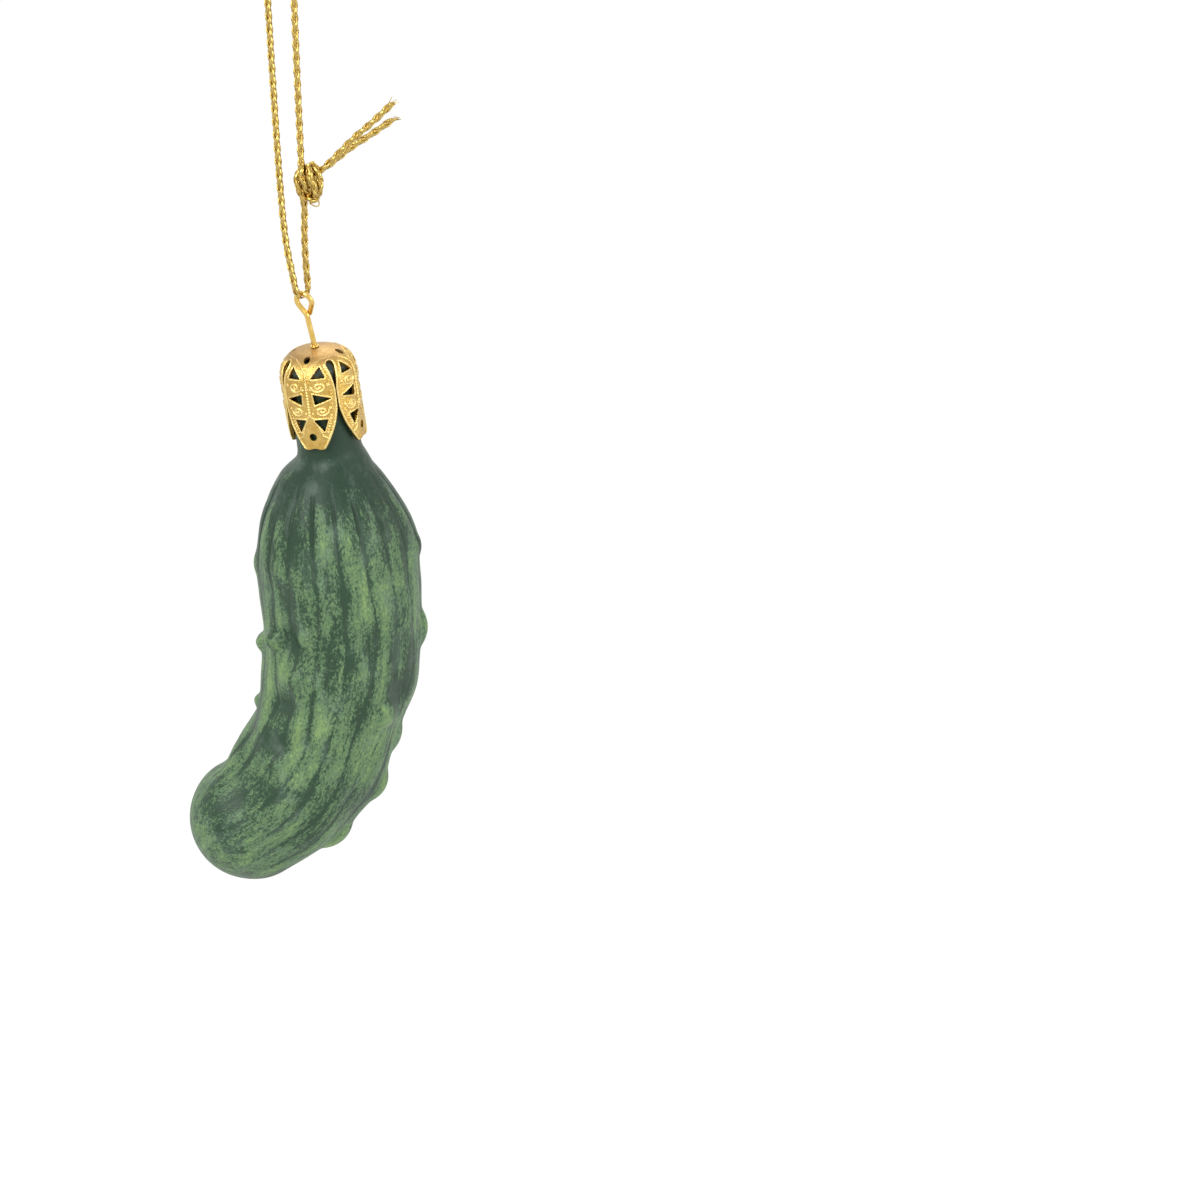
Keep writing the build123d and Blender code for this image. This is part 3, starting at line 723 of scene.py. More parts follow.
def painted_glass():
    """Blown glass under satin paint: a dark blue-green coat, dry-brushed along its length in leaf green.

    The brush leaves streaks about 1.4 mm wide and 8 mm long that break into flecks of about 0.3 mm,
    catches the pleats' backs and the warts, and misses the creases and the neck.  The hollows are kept
    dark as painted shade, and towards the end less leaf green is laid, as painted shade too.  A thin film
    of it lies over the rest, thinner on the neck.  Grey patches are a painted sheen, strongest round the
    neck's foot as a painted highlight.
    """
    material, tree = new_material("dry_brushed_satin_paint")
    skin = mesh_layer(tree, "skin", "Vector")
    down = add(tree, "ShaderNodeSeparateXYZ", {0: skin}).outputs["Z"]
    fields = {}
    for name, across, along, detail, roughness in (
        ("streak", 1.4, 8.0, 5.0, 0.62),
        ("patch", 3.4, 5.5, 3.0, 0.55),
        ("broad", 8.0, 10.0, 1.0, 0.5),
        ("fleck", 0.26, 0.42, 3.0, 0.75),
        ("brush", 0.5, 6.0, 2.0, 0.6),
        ("sheen_patch", 2.6, 5.0, 4.0, 0.6),
    ):
        waves = (1 / across, 1 / across, 1 / along)
        scaled = add(tree, "ShaderNodeMapping", {"Vector": skin, "Scale": waves})
        fields[name] = add(tree, "ShaderNodeTexNoise", {
            "Vector": scaled.outputs[0], "Scale": 1.0, "Detail": detail, "Roughness": roughness,
            "Distortion": 0.5,
        }).outputs[0]
    bare_neck = ranged(tree, down, 1.5, 8.5, 0.45, 0.0)
    # Painted shade: less leaf green is laid towards the end of the body
    thin_end = ranged(tree, down, 28.0, 44.0, 0.0, 0.07)
    covered = fields["streak"]
    for field, weight in (
        (fields["patch"], 0.9), (fields["broad"], 0.3), (fields["fleck"], 1.5), (fields["brush"], 0.25),
        # The layer low darkens the creases, and the hollows in it as painted shade
        (mesh_layer(tree, "furrow"), -0.27), (mesh_layer(tree, "low"), -0.5),
        (mesh_layer(tree, "wart"), 0.16), (bare_neck, -1.0), (thin_end, -1.0),
    ):
        covered = worked(tree, "MULTIPLY_ADD", field, weight, covered)
    brushed = ranged(tree, covered, 1.7, 1.97, interpolation_type="SMOOTHSTEP")
    bright = ranged(tree, covered, 1.99, 2.3, interpolation_type="SMOOTHSTEP")
    film = ranged(tree, down, 3.0, 11.0, 0.07, 0.16)
    coat = mixed(tree, worked(tree, "MAXIMUM", brushed, film), GROUND_GREEN, LEAF_GREEN)
    paint = mixed(tree, bright, coat, BRIGHT_GREEN)
    # Painted sheen: grey patches on the satin paint, with a painted highlight round the neck's foot
    neck_foot = ranged(tree, down, 0.3, 1.6, 0.1, 0.0)
    most_bloom = ranged(tree, down, -0.6, 0.3, 0.0, 0.26)
    worn = ranged(tree, worked(tree, "ADD", fields["sheen_patch"], neck_foot), 0.52, 0.75, 0.0, most_bloom)
    set_finish(tree, {
        "Base Color": mixed(tree, worn, paint, GREY_BLOOM),
        "Roughness": ranged(tree, brushed, 0.0, 1.0, 0.41, 0.52),
        "Normal": bumped(tree, covered, 0.4, 0.08),
        "Specular IOR Level": 0.3,
    })
    return material


# Pierced cap


def cap_profile(height):
    """Radius and run from the apex of the cap's outer surface at heights above the seam.

    The side is upright; above it the corner is an arc that ends on the crown's cone, and the run is
    counted down the surface from the apex.
    """
    across = CAP_RADIUS - CAP_CORNER_RADIUS
    crown_run = across / math.cos(CAP_CROWN_SLOPE)
    middle = CAP_TOP - across * math.tan(CAP_CROWN_SLOPE) - CAP_CORNER_RADIUS / math.cos(CAP_CROWN_SLOPE)
    turn = np.arccos(np.clip((height - middle) / CAP_CORNER_RADIUS, 0.0, math.cos(CAP_CROWN_SLOPE)))
    below = np.clip(middle - height, 0.0, None)
    crown = np.clip((CAP_TOP - height) / math.tan(CAP_CROWN_SLOPE), 0.0, across)
    on_crown = height > middle + CAP_CORNER_RADIUS * math.cos(CAP_CROWN_SLOPE)
    radius = np.where(on_crown, crown, across + CAP_CORNER_RADIUS * np.sin(turn))
    run = np.where(
        on_crown, crown / math.cos(CAP_CROWN_SLOPE),
        crown_run + CAP_CORNER_RADIUS * (turn - CAP_CROWN_SLOPE) + below,
    )
    return radius, run


def sheet_tables():
    """Radius and height of the cap's profile against its run, for placing flat points on it."""
    cone_foot = CAP_TOP - CONE_DROP
    heights = np.concatenate([
        np.linspace(CAP_TOP, cone_foot, CONE_SAMPLES, endpoint=False),
        np.linspace(cone_foot, 0.0, SIDE_SAMPLES),
    ])
    radius, run = cap_profile(heights)
    order = np.argsort(run)
    return run[order], radius[order], heights[order]


RUNS, RUN_RADII, RUN_HEIGHTS = sheet_tables()


def on_sheet(across, height):
    """Flat place of a point given by its distance across from the petal's middle plane and its height."""
    radius, run = cap_profile(np.asarray(height, dtype=float))
    return np.stack([radius * np.arcsin(np.clip(np.asarray(across) / radius, -1.0, 1.0)), run], axis=-1)


def rounded_outline(corners, radius, steps=4):
    """Closed outline whose corners are replaced by arcs: points on a parabola between two cut-backs."""
    before = np.roll(corners, 1, axis=0)
    after = np.roll(corners, -1, axis=0)
    into = corners + unit(before - corners) * radius
    out = corners + unit(after - corners) * radius
    share = np.linspace(0.0, 1.0, steps + 1)[None, :, None]
    pulled = 2 * corners[:, None] * share * (1 - share)
    return (into[:, None] * (1 - share) ** 2 + pulled + out[:, None] * share**2).reshape(-1, 2)


def petal_holes():
    """Outlines of a petal's holes on the flat sheet: three pairs of triangles, the tip's and the crown's."""
    outlines = []
    for corners in PETAL_PIERCINGS:
        flat = on_sheet(*np.array(corners).T)
        outlines += [rounded_outline(flat, HOLE_CORNER), rounded_outline(flat * [-1, 1], HOLE_CORNER)]
    round_off = np.linspace(0.0, 2 * math.pi, 24, endpoint=False)
    circle = np.stack([np.cos(round_off), np.sin(round_off)], axis=1)
    outlines.append(on_sheet(0.0, TIP_HOLE_HEIGHT) + circle * TIP_HOLE_RADIUS)
    outlines.append(on_sheet(0.0, CROWN_HOLE_HEIGHT) + circle * CROWN_HOLE_HALF)
    return outlines


def petal_side():
    """Right edge of one quarter of the cap on the flat sheet, as its crown part and its part along the gap.

    The crown part follows the border with the next quarter down to the gap.  The other keeps the gap's
    half width from the border: a quarter ellipse at the round head, then the known half widths.
    """
    border = math.pi / PETAL_COUNT
    widths, heights = np.array(SLOT_EDGE).T
    turn = np.radians(np.linspace(0.0, 90.0, 9, endpoint=False))
    side = np.linspace(heights[0], PETAL_TIP + TIP_ROUNDING, 70)
    width = np.concatenate([widths[0] * np.sin(turn), smooth_through(-side, -heights, widths)])
    radius, run = cap_profile(np.concatenate([heights[0] + SLOT_HEAD_RISE * np.cos(turn), side]))
    gap_edge = np.stack([radius * border - width, run], axis=1)
    crown_runs = np.linspace(CAP_HOLE_RADIUS, run[0], 24, endpoint=False)
    crown_edge = np.stack([np.interp(crown_runs, RUNS, RUN_RADII) * border, crown_runs], axis=1)
    return crown_edge, gap_edge


def petal_outline():
    """Closed outline of one quarter: right edge, scalloped tip, left edge and the arc round the pin hole."""
    right = np.concatenate(petal_side())
    across, rise = np.array(TIP_EDGE).T
    right_tip = on_sheet(across, PETAL_TIP + rise)
    left_tip = right_tip[-2::-1] * [-1, 1]
    border = math.pi / PETAL_COUNT
    turn = np.linspace(-border, border, 9)[1:-1]
    arc_round_pin = np.stack([CAP_HOLE_RADIUS * turn, np.full(len(turn), CAP_HOLE_RADIUS)], axis=1)
    return np.concatenate([right, right_tip, left_tip, right[::-1] * [-1, 1], arc_round_pin])


def inside(points, outline):
    """Which points lie inside a closed outline, by counting the edges that a level ray crosses."""
    start = outline[None]
    end = np.roll(outline, -1, axis=0)[None]
    x, y = points[:, None, 0], points[:, None, 1]
    spans = (start[..., 1] > y) != (end[..., 1] > y)
    rise = np.where(end[..., 1] == start[..., 1], 1.0, end[..., 1] - start[..., 1])
    crossing = start[..., 0] + (y - start[..., 1]) * (end[..., 0] - start[..., 0]) / rise
    return np.count_nonzero(spans & (x < crossing), axis=1) % 2 == 1


def apart_from_line(points, line, closed=False):
    """Distance of points from a line of straight pieces."""
    start = line if closed else line[:-1]
    end = np.roll(line, -1, axis=0) if closed else line[1:]
    along = end - start
    to_points = points[:, None] - start[None]
    share = np.clip(np.sum(to_points * along, axis=2) / np.sum(along**2, axis=1), 0.0, 1.0)
    return np.linalg.norm(to_points - share[..., None] * along, axis=2).min(axis=1)


def flat_petal(step, outline, holes):
    """Triangles that fill a petal between its outline and its holes, with inner points a step apart."""
    loops = [outline, *holes]
    low, high = outline.min(axis=0), outline.max(axis=0)
    x, y = np.meshgrid(np.arange(low[0], high[0], step), np.arange(low[1], high[1], step * math.sqrt(0.75)))
    x = x + np.where(np.arange(len(y))[:, None] % 2, step / 2, 0.0)
    filling = np.stack([x.ravel(), y.ravel()], axis=1)
    apart = np.min([apart_from_line(filling, loop, closed=True) for loop in loops], axis=0)
    clear = apart > min(EDGE_CLEAR_SHARE * step, EDGE_CLEAR_MOST)
    kept = clear & inside(filling, outline) & ~np.any([inside(filling, hole) for hole in holes], axis=0)
    points = np.concatenate([*loops, filling[kept]])
    edges = []
    first = 0
    for loop in loops:
        index = np.arange(first, first + len(loop))
        edges += np.stack([index, np.roll(index, -1)], axis=1).tolist()
        first += len(loop)
    flat, _, triangles, _, _, _ = delaunay_2d_cdt([Vector(point) for point in points], edges, [], 0, 1e-6)
    flat = np.array([point[:] for point in flat])
    triangles = np.array(triangles)
    middles = flat[triangles].mean(axis=1)
    solid = inside(middles, outline) & ~np.any([inside(middles, hole) for hole in holes], axis=0)
    return flat, triangles[solid]


def ridge(apart, offset, half_width, height):
    """Rounded raised line: a cosine hill that runs at an offset from what it follows."""
    beside = np.abs(apart - offset) / half_width
    return height * np.cos(np.clip(beside, 0.0, 1.0) * math.pi / 2) ** 2


def scroll(across, height, size, way):
    """Spiral line that opens from its eye to a size, on the flat sheet."""
    turn = np.linspace(0.0, SCROLL_TURNS * 2 * math.pi, 30)
    reach = size * (SCROLL_EYE + (1 - SCROLL_EYE) * turn / turn[-1])
    spiral = np.stack([way * reach * np.cos(turn), SCROLL_FLATNESS * reach * np.sin(turn)], axis=1)
    return on_sheet(across, height) + spiral


def cap_relief(flat, holes):
    """Stamped relief of one petal: lips round the piercings, rims, a beaded rib, forks, scrolls and beads."""
    half = np.stack([np.abs(flat[:, 0]), flat[:, 1]], axis=1)
    ridges = [ridge(apart_from_line(flat, hole, closed=True), *LIP_RIDGE) for hole in holes[:-2]]
    ridges.append(ridge(apart_from_line(half, petal_side()[1]), *RIM_RIDGE))
    for corners in RELIEF_LINES:
        ridges.append(ridge(apart_from_line(half, on_sheet(*np.array(corners).T)), *LINE_RIDGE))
    for placed in SCROLLS:
        ridges.append(ridge(apart_from_line(half, scroll(*placed)), *SCROLL_RIDGE))
    beads = list(BEADS)
    for count, (across, height), (aside, up), shape in BEAD_ROWS:
        beads += [(across + aside * place, height + up * place, *shape) for place in range(count)]
    for across, height, size, rise in beads:
        apart = np.linalg.norm(half - on_sheet(across, height), axis=1)
        ridges.append(rise * np.sqrt(np.clip(1 - (apart / size) ** 2, 0.0, 1.0)))
    return np.max(ridges, axis=0)


def on_dome(flat, offset, azimuth, bend):
    """Points of the flat sheet on the cap's dome: the run gives the height, the distance across the turn.

    Below the start of its bend a petal leaves the dome by a share that grows as a square to the tip's.
    """
    near = 0.02
    place = flat[:, 1]
    height = np.interp(place, RUNS, RUN_HEIGHTS)
    bent = bend * np.clip((BEND_START - height) / (BEND_START - PETAL_TIP), 0.0, None) ** 2
    radius = np.interp(place, RUNS, RUN_RADII)
    down_radius = np.interp(place + near, RUNS, RUN_RADII) - np.interp(place - near, RUNS, RUN_RADII)
    down_height = np.interp(place + near, RUNS, RUN_HEIGHTS) - np.interp(place - near, RUNS, RUN_HEIGHTS)
    length = np.hypot(down_radius, down_height)
    out_share, up_share = -down_height / length, down_radius / length
    turn = flat[:, 0] / radius + azimuth
    spoke = FRONT * np.cos(turn)[:, None] + NECK_RIGHT * np.sin(turn)[:, None]
    return (
        SEAM + spoke * (radius + bent + offset * out_share)[:, None]
        + NECK_UP * (height + offset * up_share)[:, None]
    )


def gilt_cap():
    """Cap of four petals: a stamped outer sheet, a plain inner sheet and the walls along every edge.

    The attribute relief is the height of the stamping and crown is 1 on the plain crown, 0 on the petals.
    """
    outline = petal_outline()
    holes = petal_holes()
    outer_flat, outer_faces = flat_petal(SHEET_STEP, outline, holes)
    inner_flat, inner_faces = flat_petal(INSIDE_STEP, outline, holes)
    outer_rise = cap_relief(outer_flat, holes)
    sheets = [
        (outer_flat, outer_rise, outer_faces.tolist()),
        (inner_flat, np.full(len(inner_flat), -CAP_SHEET), inner_faces[:, ::-1].tolist()),
    ]
    for loop in (outline, *holes):
        edge = np.concatenate([loop, loop])
        edge_rise = np.concatenate([cap_relief(loop, holes), np.full(len(loop), -CAP_SHEET)])
        sheets.append((edge, edge_rise, grid_faces(2, len(loop)).tolist()))
    azimuths = PETAL_AZIMUTH + np.arange(PETAL_COUNT) * 2 * math.pi / PETAL_COUNT
    parts = [
        (on_dome(flat, rise, azimuth, bend), faces)
        for azimuth, bend in zip(azimuths, PETAL_BENDS) for flat, rise, faces in sheets
    ]
    mesh = make_mesh("cap", *joined(parts))
    rises = np.concatenate([rise for _, rise, _ in sheets])
    runs = np.concatenate([flat[:, 1] for flat, _, _ in sheets])
    add_layer(mesh, "relief", np.tile(rises, PETAL_COUNT))
    add_layer(mesh, "crown", np.tile(1 - smooth_step(*CROWN_FADE, runs), PETAL_COUNT))
    return mesh


def gilt_brass():
    """Stamped brass sheet with bright gilding, painted pale yellow on the raised stamping as a highlight
    and deeper yellow in the hollows as shade, mottled at random.

    The crown, where the gilding is thin, is browner and duller, and the petals have a grain that glitters.
    """
    material, tree = new_material("stamped_gilt_brass")
    crown = mesh_layer(tree, "crown")
    blotch = object_noise(tree, 1.1, 4.0, 0.65)
    grain = object_noise(tree, 0.26, 3.0, 0.7)
    # Painted highlight on the raised stamping and painted shade in its hollows, mottled by a random blotch
    raised = worked(tree, "MULTIPLY_ADD", mesh_layer(tree, "relief"), 5.5, blotch)
    wash = mixed(tree, ranged(tree, raised, 0.35, 1.1), *CAP_GILT)
    thin = worked(tree, "MULTIPLY", crown, 0.85)
    coarse = ranged(tree, crown, 0.0, 1.0, 1.0, 0.35)
    worn = ranged(tree, blotch, 0.3, 0.7, 0.16, 0.38)
    set_finish(tree, {
        "Base Color": mixed(tree, thin, wash, CROWN_BROWN),
        "Roughness": worked(tree, "MULTIPLY_ADD", crown, 0.2, worn),
        "Normal": bumped(tree, grain, coarse, 0.1),
        "Metallic": 1.0,
    })
    return material


def crown_eyelet():
    """Small rolled ring on the crown round the pin: a ring of round section about the pin's axis."""
    section = np.linspace(0.0, 2 * math.pi, 17)[:, None]
    turn = np.linspace(0.0, 2 * math.pi, 48, endpoint=False)[None, :]
    side = unit(np.cross(PIN_UP, FRONT))
    ahead = np.cross(side, PIN_UP)
    reach = EYELET_RADIUS + EYELET_ROLL * np.cos(section)
    rise = EYELET_LIFT + EYELET_ROLL * np.sin(section) + 0 * turn
    points = (
        CROWN_APEX + (reach * np.cos(turn))[..., None] * side + (reach * np.sin(turn))[..., None] * ahead
        + rise[..., None] * PIN_UP
    )
    faces = grid_faces(*points.shape[:2])[:, ::-1].tolist()
    return make_mesh("crown_eyelet", points.reshape(-1, 3), faces)


# Eye pin


def arc(middle, radius, start, stop, count):
    """Points of an arc in the eye's plane, from one angle to another."""
    turn = np.linspace(start, stop, count)
    return np.stack([middle[0] + radius * np.cos(turn), middle[1] + radius * np.sin(turn), 0 * turn], axis=1)


def eye_path():
    """Middle line of the wire: up the stem, round a small bend, round the eye and down behind the stem."""
    foot = -np.linalg.norm(EYE_CENTRE - CROWN_APEX) - PIN_DEPTH
    half_angle = math.asin(EYE_RADIUS / EYE_DROP)
    stem_top = -EYE_DROP - EYE_NECK_RADIUS * math.tan(half_angle / 2)
    stem = np.stack([np.zeros(30), np.linspace(foot, stem_top, 30), np.zeros(30)], axis=1)
    bend = arc((-EYE_NECK_RADIUS, stem_top), EYE_NECK_RADIUS, 0.0, half_angle, 8)
    rising = arc((0.0, 0.0), EYE_RADIUS, math.pi + half_angle, math.pi / 2, 48)
    falling = arc((0.0, 0.0), EYE_RADIUS, math.pi / 2, -half_angle, 48)[1:]
    crossing = np.array([0.0, -EYE_DROP, 0.0])
    wire_end = crossing + unit(crossing - falling[-1]) * EYE_END_RUN
    down = np.linspace(falling[-1], wire_end, 10)[1:]
    closing = np.concatenate([falling, down]) - [0.0, EYE_RADIUS, 0.0]
    lean_cos, lean_sin = math.cos(EYE_END_LEAN), math.sin(EYE_END_LEAN)
    closing = np.stack([
        closing[:, 0], lean_cos * closing[:, 1] - lean_sin * closing[:, 2],
        lean_sin * closing[:, 1] + lean_cos * closing[:, 2],
    ], axis=1) + [0.0, EYE_RADIUS, 0.0]
    flat = np.concatenate([stem[:-1], bend, rising, closing])
    right = np.cross(PIN_UP, SWING_AXIS)
    path = EYE_CENTRE + flat[:, :1] * right + flat[:, 1:2] * PIN_UP + flat[:, 2:] * SWING_AXIS
    return resampled(path, WIRE_STEP)[0]


def wire_eye():
    """Eye pin: a round wire along its line with a rounded cut end, and a flat head inside the crown."""
    path = eye_path()
    to_end = np.clip(np.arange(len(path))[::-1] / WIRE_END_POINTS, 0.0, 1.0)
    radii = WIRE_RADIUS * (WIRE_END_SHARE + (1 - WIRE_END_SHARE) * np.sqrt(1 - (1 - to_end) ** 2))
    head_line = path[0] - PIN_UP * np.linspace(HEAD_THICKNESS, 0.0, 8)[:, None]
    head_radii = HEAD_RADIUS * np.sqrt(1 - np.linspace(-HEAD_EDGE, HEAD_EDGE, len(head_line)) ** 4)
    wire = round_tube(path, radii, 20)
    head = round_tube(head_line, head_radii, 32)
    return make_mesh("wire_eye", *joined([wire, head]))


def polished_gilt_wire():
    """Drawn brass wire with a bright gilt wash: smooth and bright, with faint marks from handling."""
    material, tree = new_material("drawn_gilt_wire")
    marks = object_noise(tree, 0.8, 4.0, 0.6)
    set_finish(tree, {
        "Base Color": mixed(tree, marks, *WIRE_GILT),
        "Roughness": ranged(tree, marks, 0.3, 0.7, 0.14, 0.3),
        "Metallic": 1.0,
    })
    return material


def dried_glue():
    """Hobby glue dried over dark paint: a glossy bead, almost as dark as the glass that shows through it."""
    material, tree = new_material("dried_glue")
    cloud = object_noise(tree, 1.5, 4.0, 0.6)
    set_finish(tree, {
        "Base Color": mixed(tree, cloud, *GLUE_GREENS),
        "Normal": bumped(tree, cloud, 0.5, 0.2),
        "Roughness": 0.14,
        "IOR": 1.5,
    })
    return material


# Cord


def cord_control_points():
    """The whole cord as control points: tail, knot, loop over the hook, eye, knot again, other tail."""
    bight = np.array(EYE_BIGHT)
    route = [
        *LONG_TAIL[::-1],
        *(KNOT_CENTRE + KNOT_FROM_LOOP[::-1]),
        *UPPER_STRAND,
        (LOOP_MIDDLE + LOOP_HALF_WIDTH, 0.0, LOOP_TOP - LOOP_STRAIGHT),
        (LOOP_MIDDLE + LOOP_HALF_WIDTH, 0.0, LOOP_TOP),
        (LOOP_MIDDLE - LOOP_HALF_WIDTH, 0.0, LOOP_TOP),
        *FRONT_STRAND,
        bight,
        bight * [-1, -1, 1],
        *BACK_STRAND,
        *(KNOT_CENTRE + KNOT_FROM_EYE),
        *SHORT_TAIL,
    ]
    return EYE_CENTRE + np.array(route)


def cord_line():
    """Points of the smooth curve that the control points pull into shape."""
    controls = cord_control_points()
    curve = bpy.data.curves.new("cord_route", "CURVE")
    curve.dimensions = "3D"
    curve.resolution_u = 16
    spline = curve.splines.new("NURBS")
    spline.points.add(len(controls) - 1)
    spline.points.foreach_set("co", np.concatenate([controls, np.ones((len(controls), 1))], axis=1).ravel())
    spline.order_u = 3
    spline.use_endpoint_u = True
    holder = bpy.data.objects.new("cord_route", curve)
    mesh = bpy.data.meshes.new_from_object(holder)
    line = np.empty(len(mesh.vertices) * 3)
    mesh.vertices.foreach_get("co", line)
    bpy.data.meshes.remove(mesh)
    bpy.data.objects.remove(holder)
    bpy.data.curves.remove(curve)
    return resampled(line.reshape(-1, 3), STRAND_STEP)


def braid_strands(path, along):
    """Four flat foil strands round a plain core along the cord's line, two each way.

    A strand turns steadily about the line and rides out and in twice a turn, opposite for the two
    ways, so that it passes over and under the ones that cross it.  Its section is a flat ellipse
    that lies on the cord's surface.  Under the wire of the eye the braid is squeezed by a bell curve.
    """
    across, above = carried_frames(path)
    at_eye = along[np.argmin(np.linalg.norm(path - EYE_CENTRE, axis=1))]
    size = 1 - EYE_SQUEEZE * np.exp(-(((along - at_eye) / EYE_SQUEEZE_RUN) ** 2))
    wave = np.cos(4 * math.pi * along / BRAID_PITCH)
    section = np.linspace(0.0, 2 * math.pi, STRAND_SIDES, endpoint=False)
    parts = [round_tube(path, CORE_RADIUS * size, 8)]
    for way in (1, -1):
        for start in (0.0, math.pi):
            turn = (way * 2 * math.pi * along / BRAID_PITCH + start)[:, None]
            spoke = across * np.cos(turn) + above * np.sin(turn)
            middle = path + spoke * (size * (BRAID_RADIUS + way * BRAID_WAVE * wave))[:, None]
            heading = unit(np.gradient(middle, axis=0))
            beside = unit(np.cross(spoke, heading))
            outward = np.cross(heading, beside)
            rings = (
                middle[:, None]
                + beside[:, None] * (size[:, None] * STRAND_HALF_WIDTH * np.cos(section))[..., None]
                + outward[:, None] * (size[:, None] * STRAND_HALF_THICKNESS * np.sin(section))[..., None]
            )
            count = len(path) * STRAND_SIDES
            faces = grid_faces(len(path), STRAND_SIDES).tolist()
            faces.append(list(range(STRAND_SIDES))[::-1])
            faces.append(list(range(count - STRAND_SIDES, count)))
            parts.append((rings.reshape(-1, 3), faces))
    return parts


def loose_filaments(path):
    """Single foil filaments: two stray loops at the knot and a short brush at each cut end."""
    draw = np.random.default_rng(BRUSH_SEED)
    share = np.linspace(0.0, 1.0, 22)[:, None]
    parts = []
    for corners in STRAY_LOOPS:
        start, bow, end = EYE_CENTRE + KNOT_CENTRE + np.array(corners)
        line = start * (1 - share) ** 2 + 2 * bow * share * (1 - share) + end * share**2
        parts.append(round_tube(line, np.full(len(line), STRAY_RADIUS), 6))
    for tip, inner in ((path[0], path[6]), (path[-1], path[-7])):
        heading = unit(tip - inner)
        for _ in range(BRUSH_COUNT):
            spread = heading + draw.normal(0.0, BRUSH_SPREAD, 3)
            reach = draw.uniform(*BRUSH_REACH)
            root = tip - heading * BRUSH_ROOT + draw.normal(0.0, BRUSH_SCATTER, 3)
            droop = np.array(BRUSH_DROOP) * reach
            line = root + unit(spread) * (BRUSH_ROOT + reach) * share + droop * share**2
            parts.append(round_tube(line, np.full(len(line), BRUSH_RADIUS), 5))
    return parts


def knot_core():
    """Packed middle of the knot: an upright ellipsoid that fills the room between the turns."""
    share = np.linspace(-0.98, 0.98, 24)
    middle = EYE_CENTRE + KNOT_CENTRE + KNOT_CORE_SHIFT
    line = middle + share[:, None] * np.array([0.0, 0.0, KNOT_CORE_HALF_HEIGHT])
    return round_tube(line, KNOT_CORE_RADIUS * np.sqrt(1 - share**2), 24)


def gold_braid(path, along):
    """Braided cord with the middle of its knot and its loose filaments as one mesh."""
    parts = braid_strands(path, along) + [knot_core()] + loose_filaments(path)
    return make_mesh("gold_cord", *joined(parts))


def gold_foil_yarn():
    """Metallised film slit into yarn and braided: bright gold, mottled with a deeper and duller gold."""
    material, tree = new_material("metallised_gold_yarn")
    glint = object_noise(tree, 0.35, 3.0, 0.65)
    set_finish(tree, {
        "Base Color": mixed(tree, glint, *YARN_GOLD),
        "Roughness": ranged(tree, glint, 0.3, 0.7, 0.36, 0.13),
        "Normal": bumped(tree, glint, 0.3, 0.05),
        "Metallic": 1.0,
    })
    return material


# Stage, camera and light


def place_camera():
    """Long lens at the viewing angle, aimed at the middle of the frame and rolled a little."""
    across = Vector((1.0, 0.0, 0.0))
    ahead = Vector((0.0, math.cos(CAMERA_ELEVATION), -math.sin(CAMERA_ELEVATION)))
    above = across.cross(ahead)
    aim = Vector(EYE_CENTRE * MM) + (across * FRAME_MIDDLE[0] + above * FRAME_MIDDLE[1]) * MM
    right = across * math.cos(CAMERA_ROLL) - above * math.sin(CAMERA_ROLL)
    up = across * math.sin(CAMERA_ROLL) + above * math.cos(CAMERA_ROLL)
    data = bpy.data.cameras.new("camera")
    data.sensor_width = SENSOR_WIDTH
    data.lens = SENSOR_WIDTH * CAMERA_DISTANCE / FRAME_WIDTH
    data.clip_start = 0.01
    camera = linked("camera", data)
    turn = Matrix((right, up, -ahead)).transposed().to_4x4()
    camera.matrix_world = Matrix.Translation(aim - ahead * CAMERA_DISTANCE) @ turn
    bpy.context.scene.camera = camera


def seen_ray(tree):
    """1 for rays that the camera sends straight, off a mirror or through glass, and 0 for the rest."""
    light = add(tree, "ShaderNodeLightPath")
    seen = light.outputs["Is Camera Ray"]
    for name in ("Is Glossy Ray", "Is Transmission Ray"):
        seen = worked(tree, "MAXIMUM", seen, light.outputs[name])
    return seen


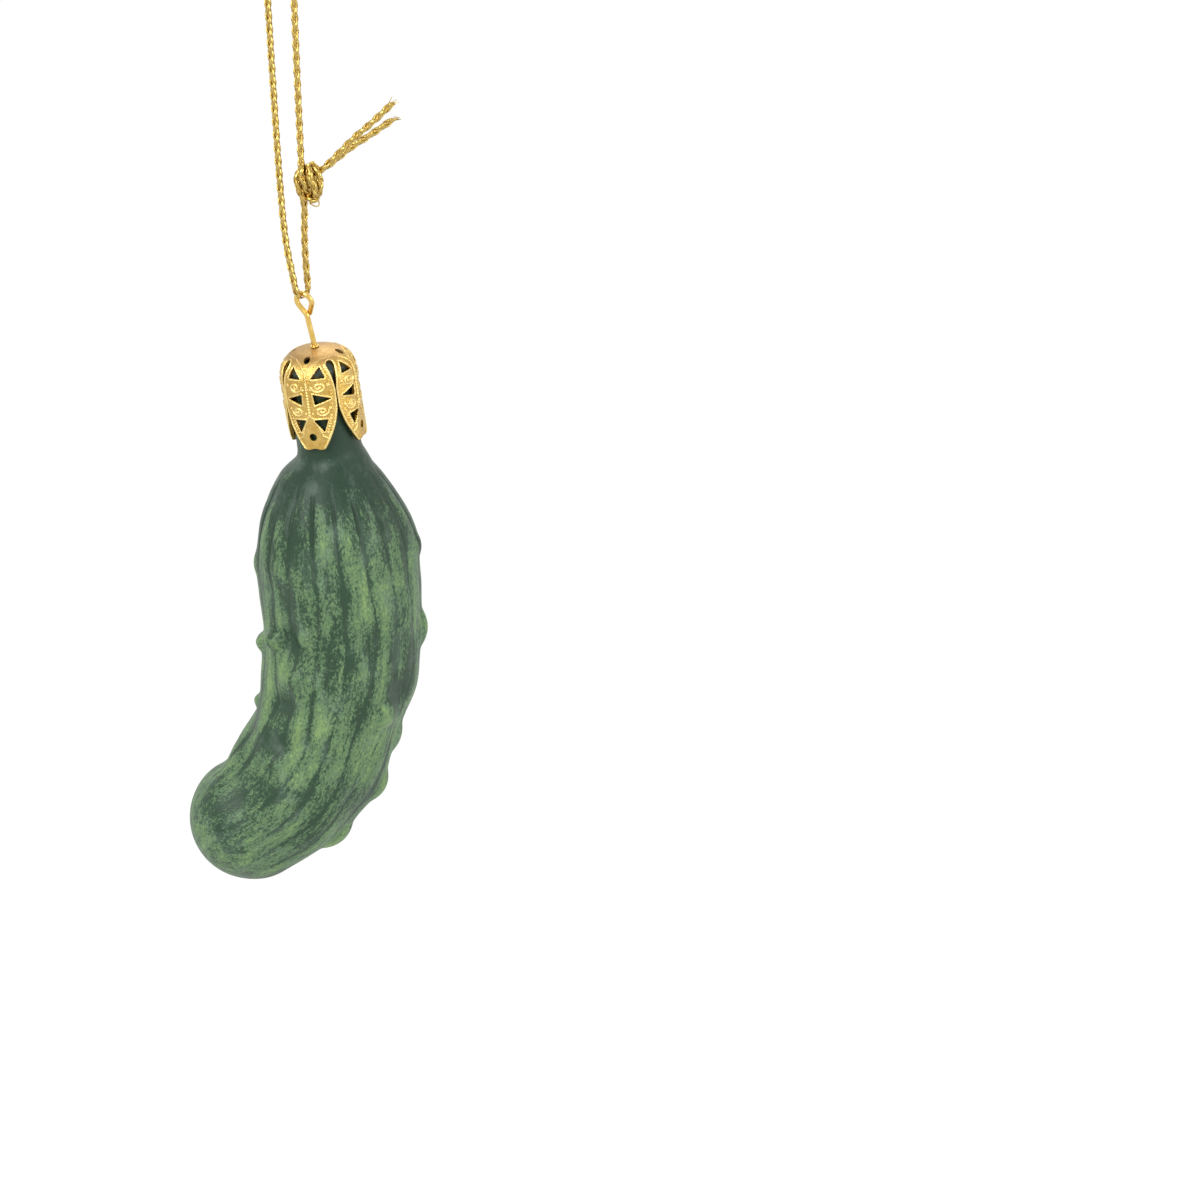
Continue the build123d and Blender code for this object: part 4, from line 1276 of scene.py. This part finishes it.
def pale_floor():
    """Wide pale floor under the hanging ornament; seen directly, most of it is plain white."""
    half = FLOOR_SIZE / 2
    mesh = bpy.data.meshes.new("floor")
    corners = [(x, y, FLOOR_LEVEL) for x, y in ((-half, -half), (half, -half), (half, half), (-half, half))]
    mesh.from_pydata(corners, [], [(0, 1, 2, 3)])
    floor = linked("floor", mesh)
    material, tree = new_material("white_paper")
    paper = add(tree, "ShaderNodeBsdfDiffuse", {"Color": linear(PAPER_WHITE)})
    glow = add(tree, "ShaderNodeEmission", {"Color": linear("#ffffff"), "Strength": SEEN_GLOW})
    white = add(tree, "ShaderNodeMixShader", {0: SEEN_GLOW_SHARE, 1: paper.outputs[0], 2: glow.outputs[0]})
    shown = add(tree, "ShaderNodeMixShader", {0: seen_ray(tree), 1: paper.outputs[0], 2: white.outputs[0]})
    add(tree, "ShaderNodeOutputMaterial", {"Surface": shown.outputs[0]})
    mesh.materials.append(material)


def studio_light():
    """Even white surroundings and three soft panels: left front above, right, and behind above."""
    world = bpy.data.worlds.new("studio")
    bpy.context.scene.world = world
    world.use_nodes = True
    tree = world.node_tree
    tree.nodes.clear()
    strength = ranged(tree, seen_ray(tree), 0.0, 1.0, SKY_STRENGTH, SKY_SEEN)
    sky = add(tree, "ShaderNodeBackground", {"Color": linear("#ffffff"), "Strength": strength})
    add(tree, "ShaderNodeOutputWorld", {"Surface": sky.outputs[0]})
    for name, place, size, power in PANELS:
        data = bpy.data.lights.new(name, "AREA")
        data.shape = "DISK"
        data.size = size
        data.energy = power
        lamp = linked(name, data)
        lamp.location = place
        lamp.rotation_euler = (Vector(place) - Vector(LIT_PLACE)).to_track_quat("Z", "Y").to_euler()


place_camera()
cord_path, cord_along = cord_line()
cord = add_piece(
    "gold_cord", gold_braid(cord_path, cord_along), gold_foil_yarn(), "cord", "gold_cord",
    "hanging_cord", "cord_knot", "cord_tails",
)
add_piece("pickle", painted_glass_pickle(), painted_glass(), "pickle", "painted_glass", "glass_body")
add_piece("cap", gilt_cap(), gilt_brass(), "pickle", "gilt_cap", "filigree_cap")
gilt_wire = polished_gilt_wire()
add_piece("crown_eyelet", crown_eyelet(), gilt_wire, "pickle", "gilt_cap")
add_piece("wire_eye", wire_eye(), gilt_wire, "pin", "gilt_wire", "eye_pin")
glue = frame["nodes"]["cap_adhesive"]
glue.data.materials.clear()
glue.data.materials.append(dried_glue())
pale_floor()
studio_light()
bpy.context.scene.view_settings.view_transform = "Standard"
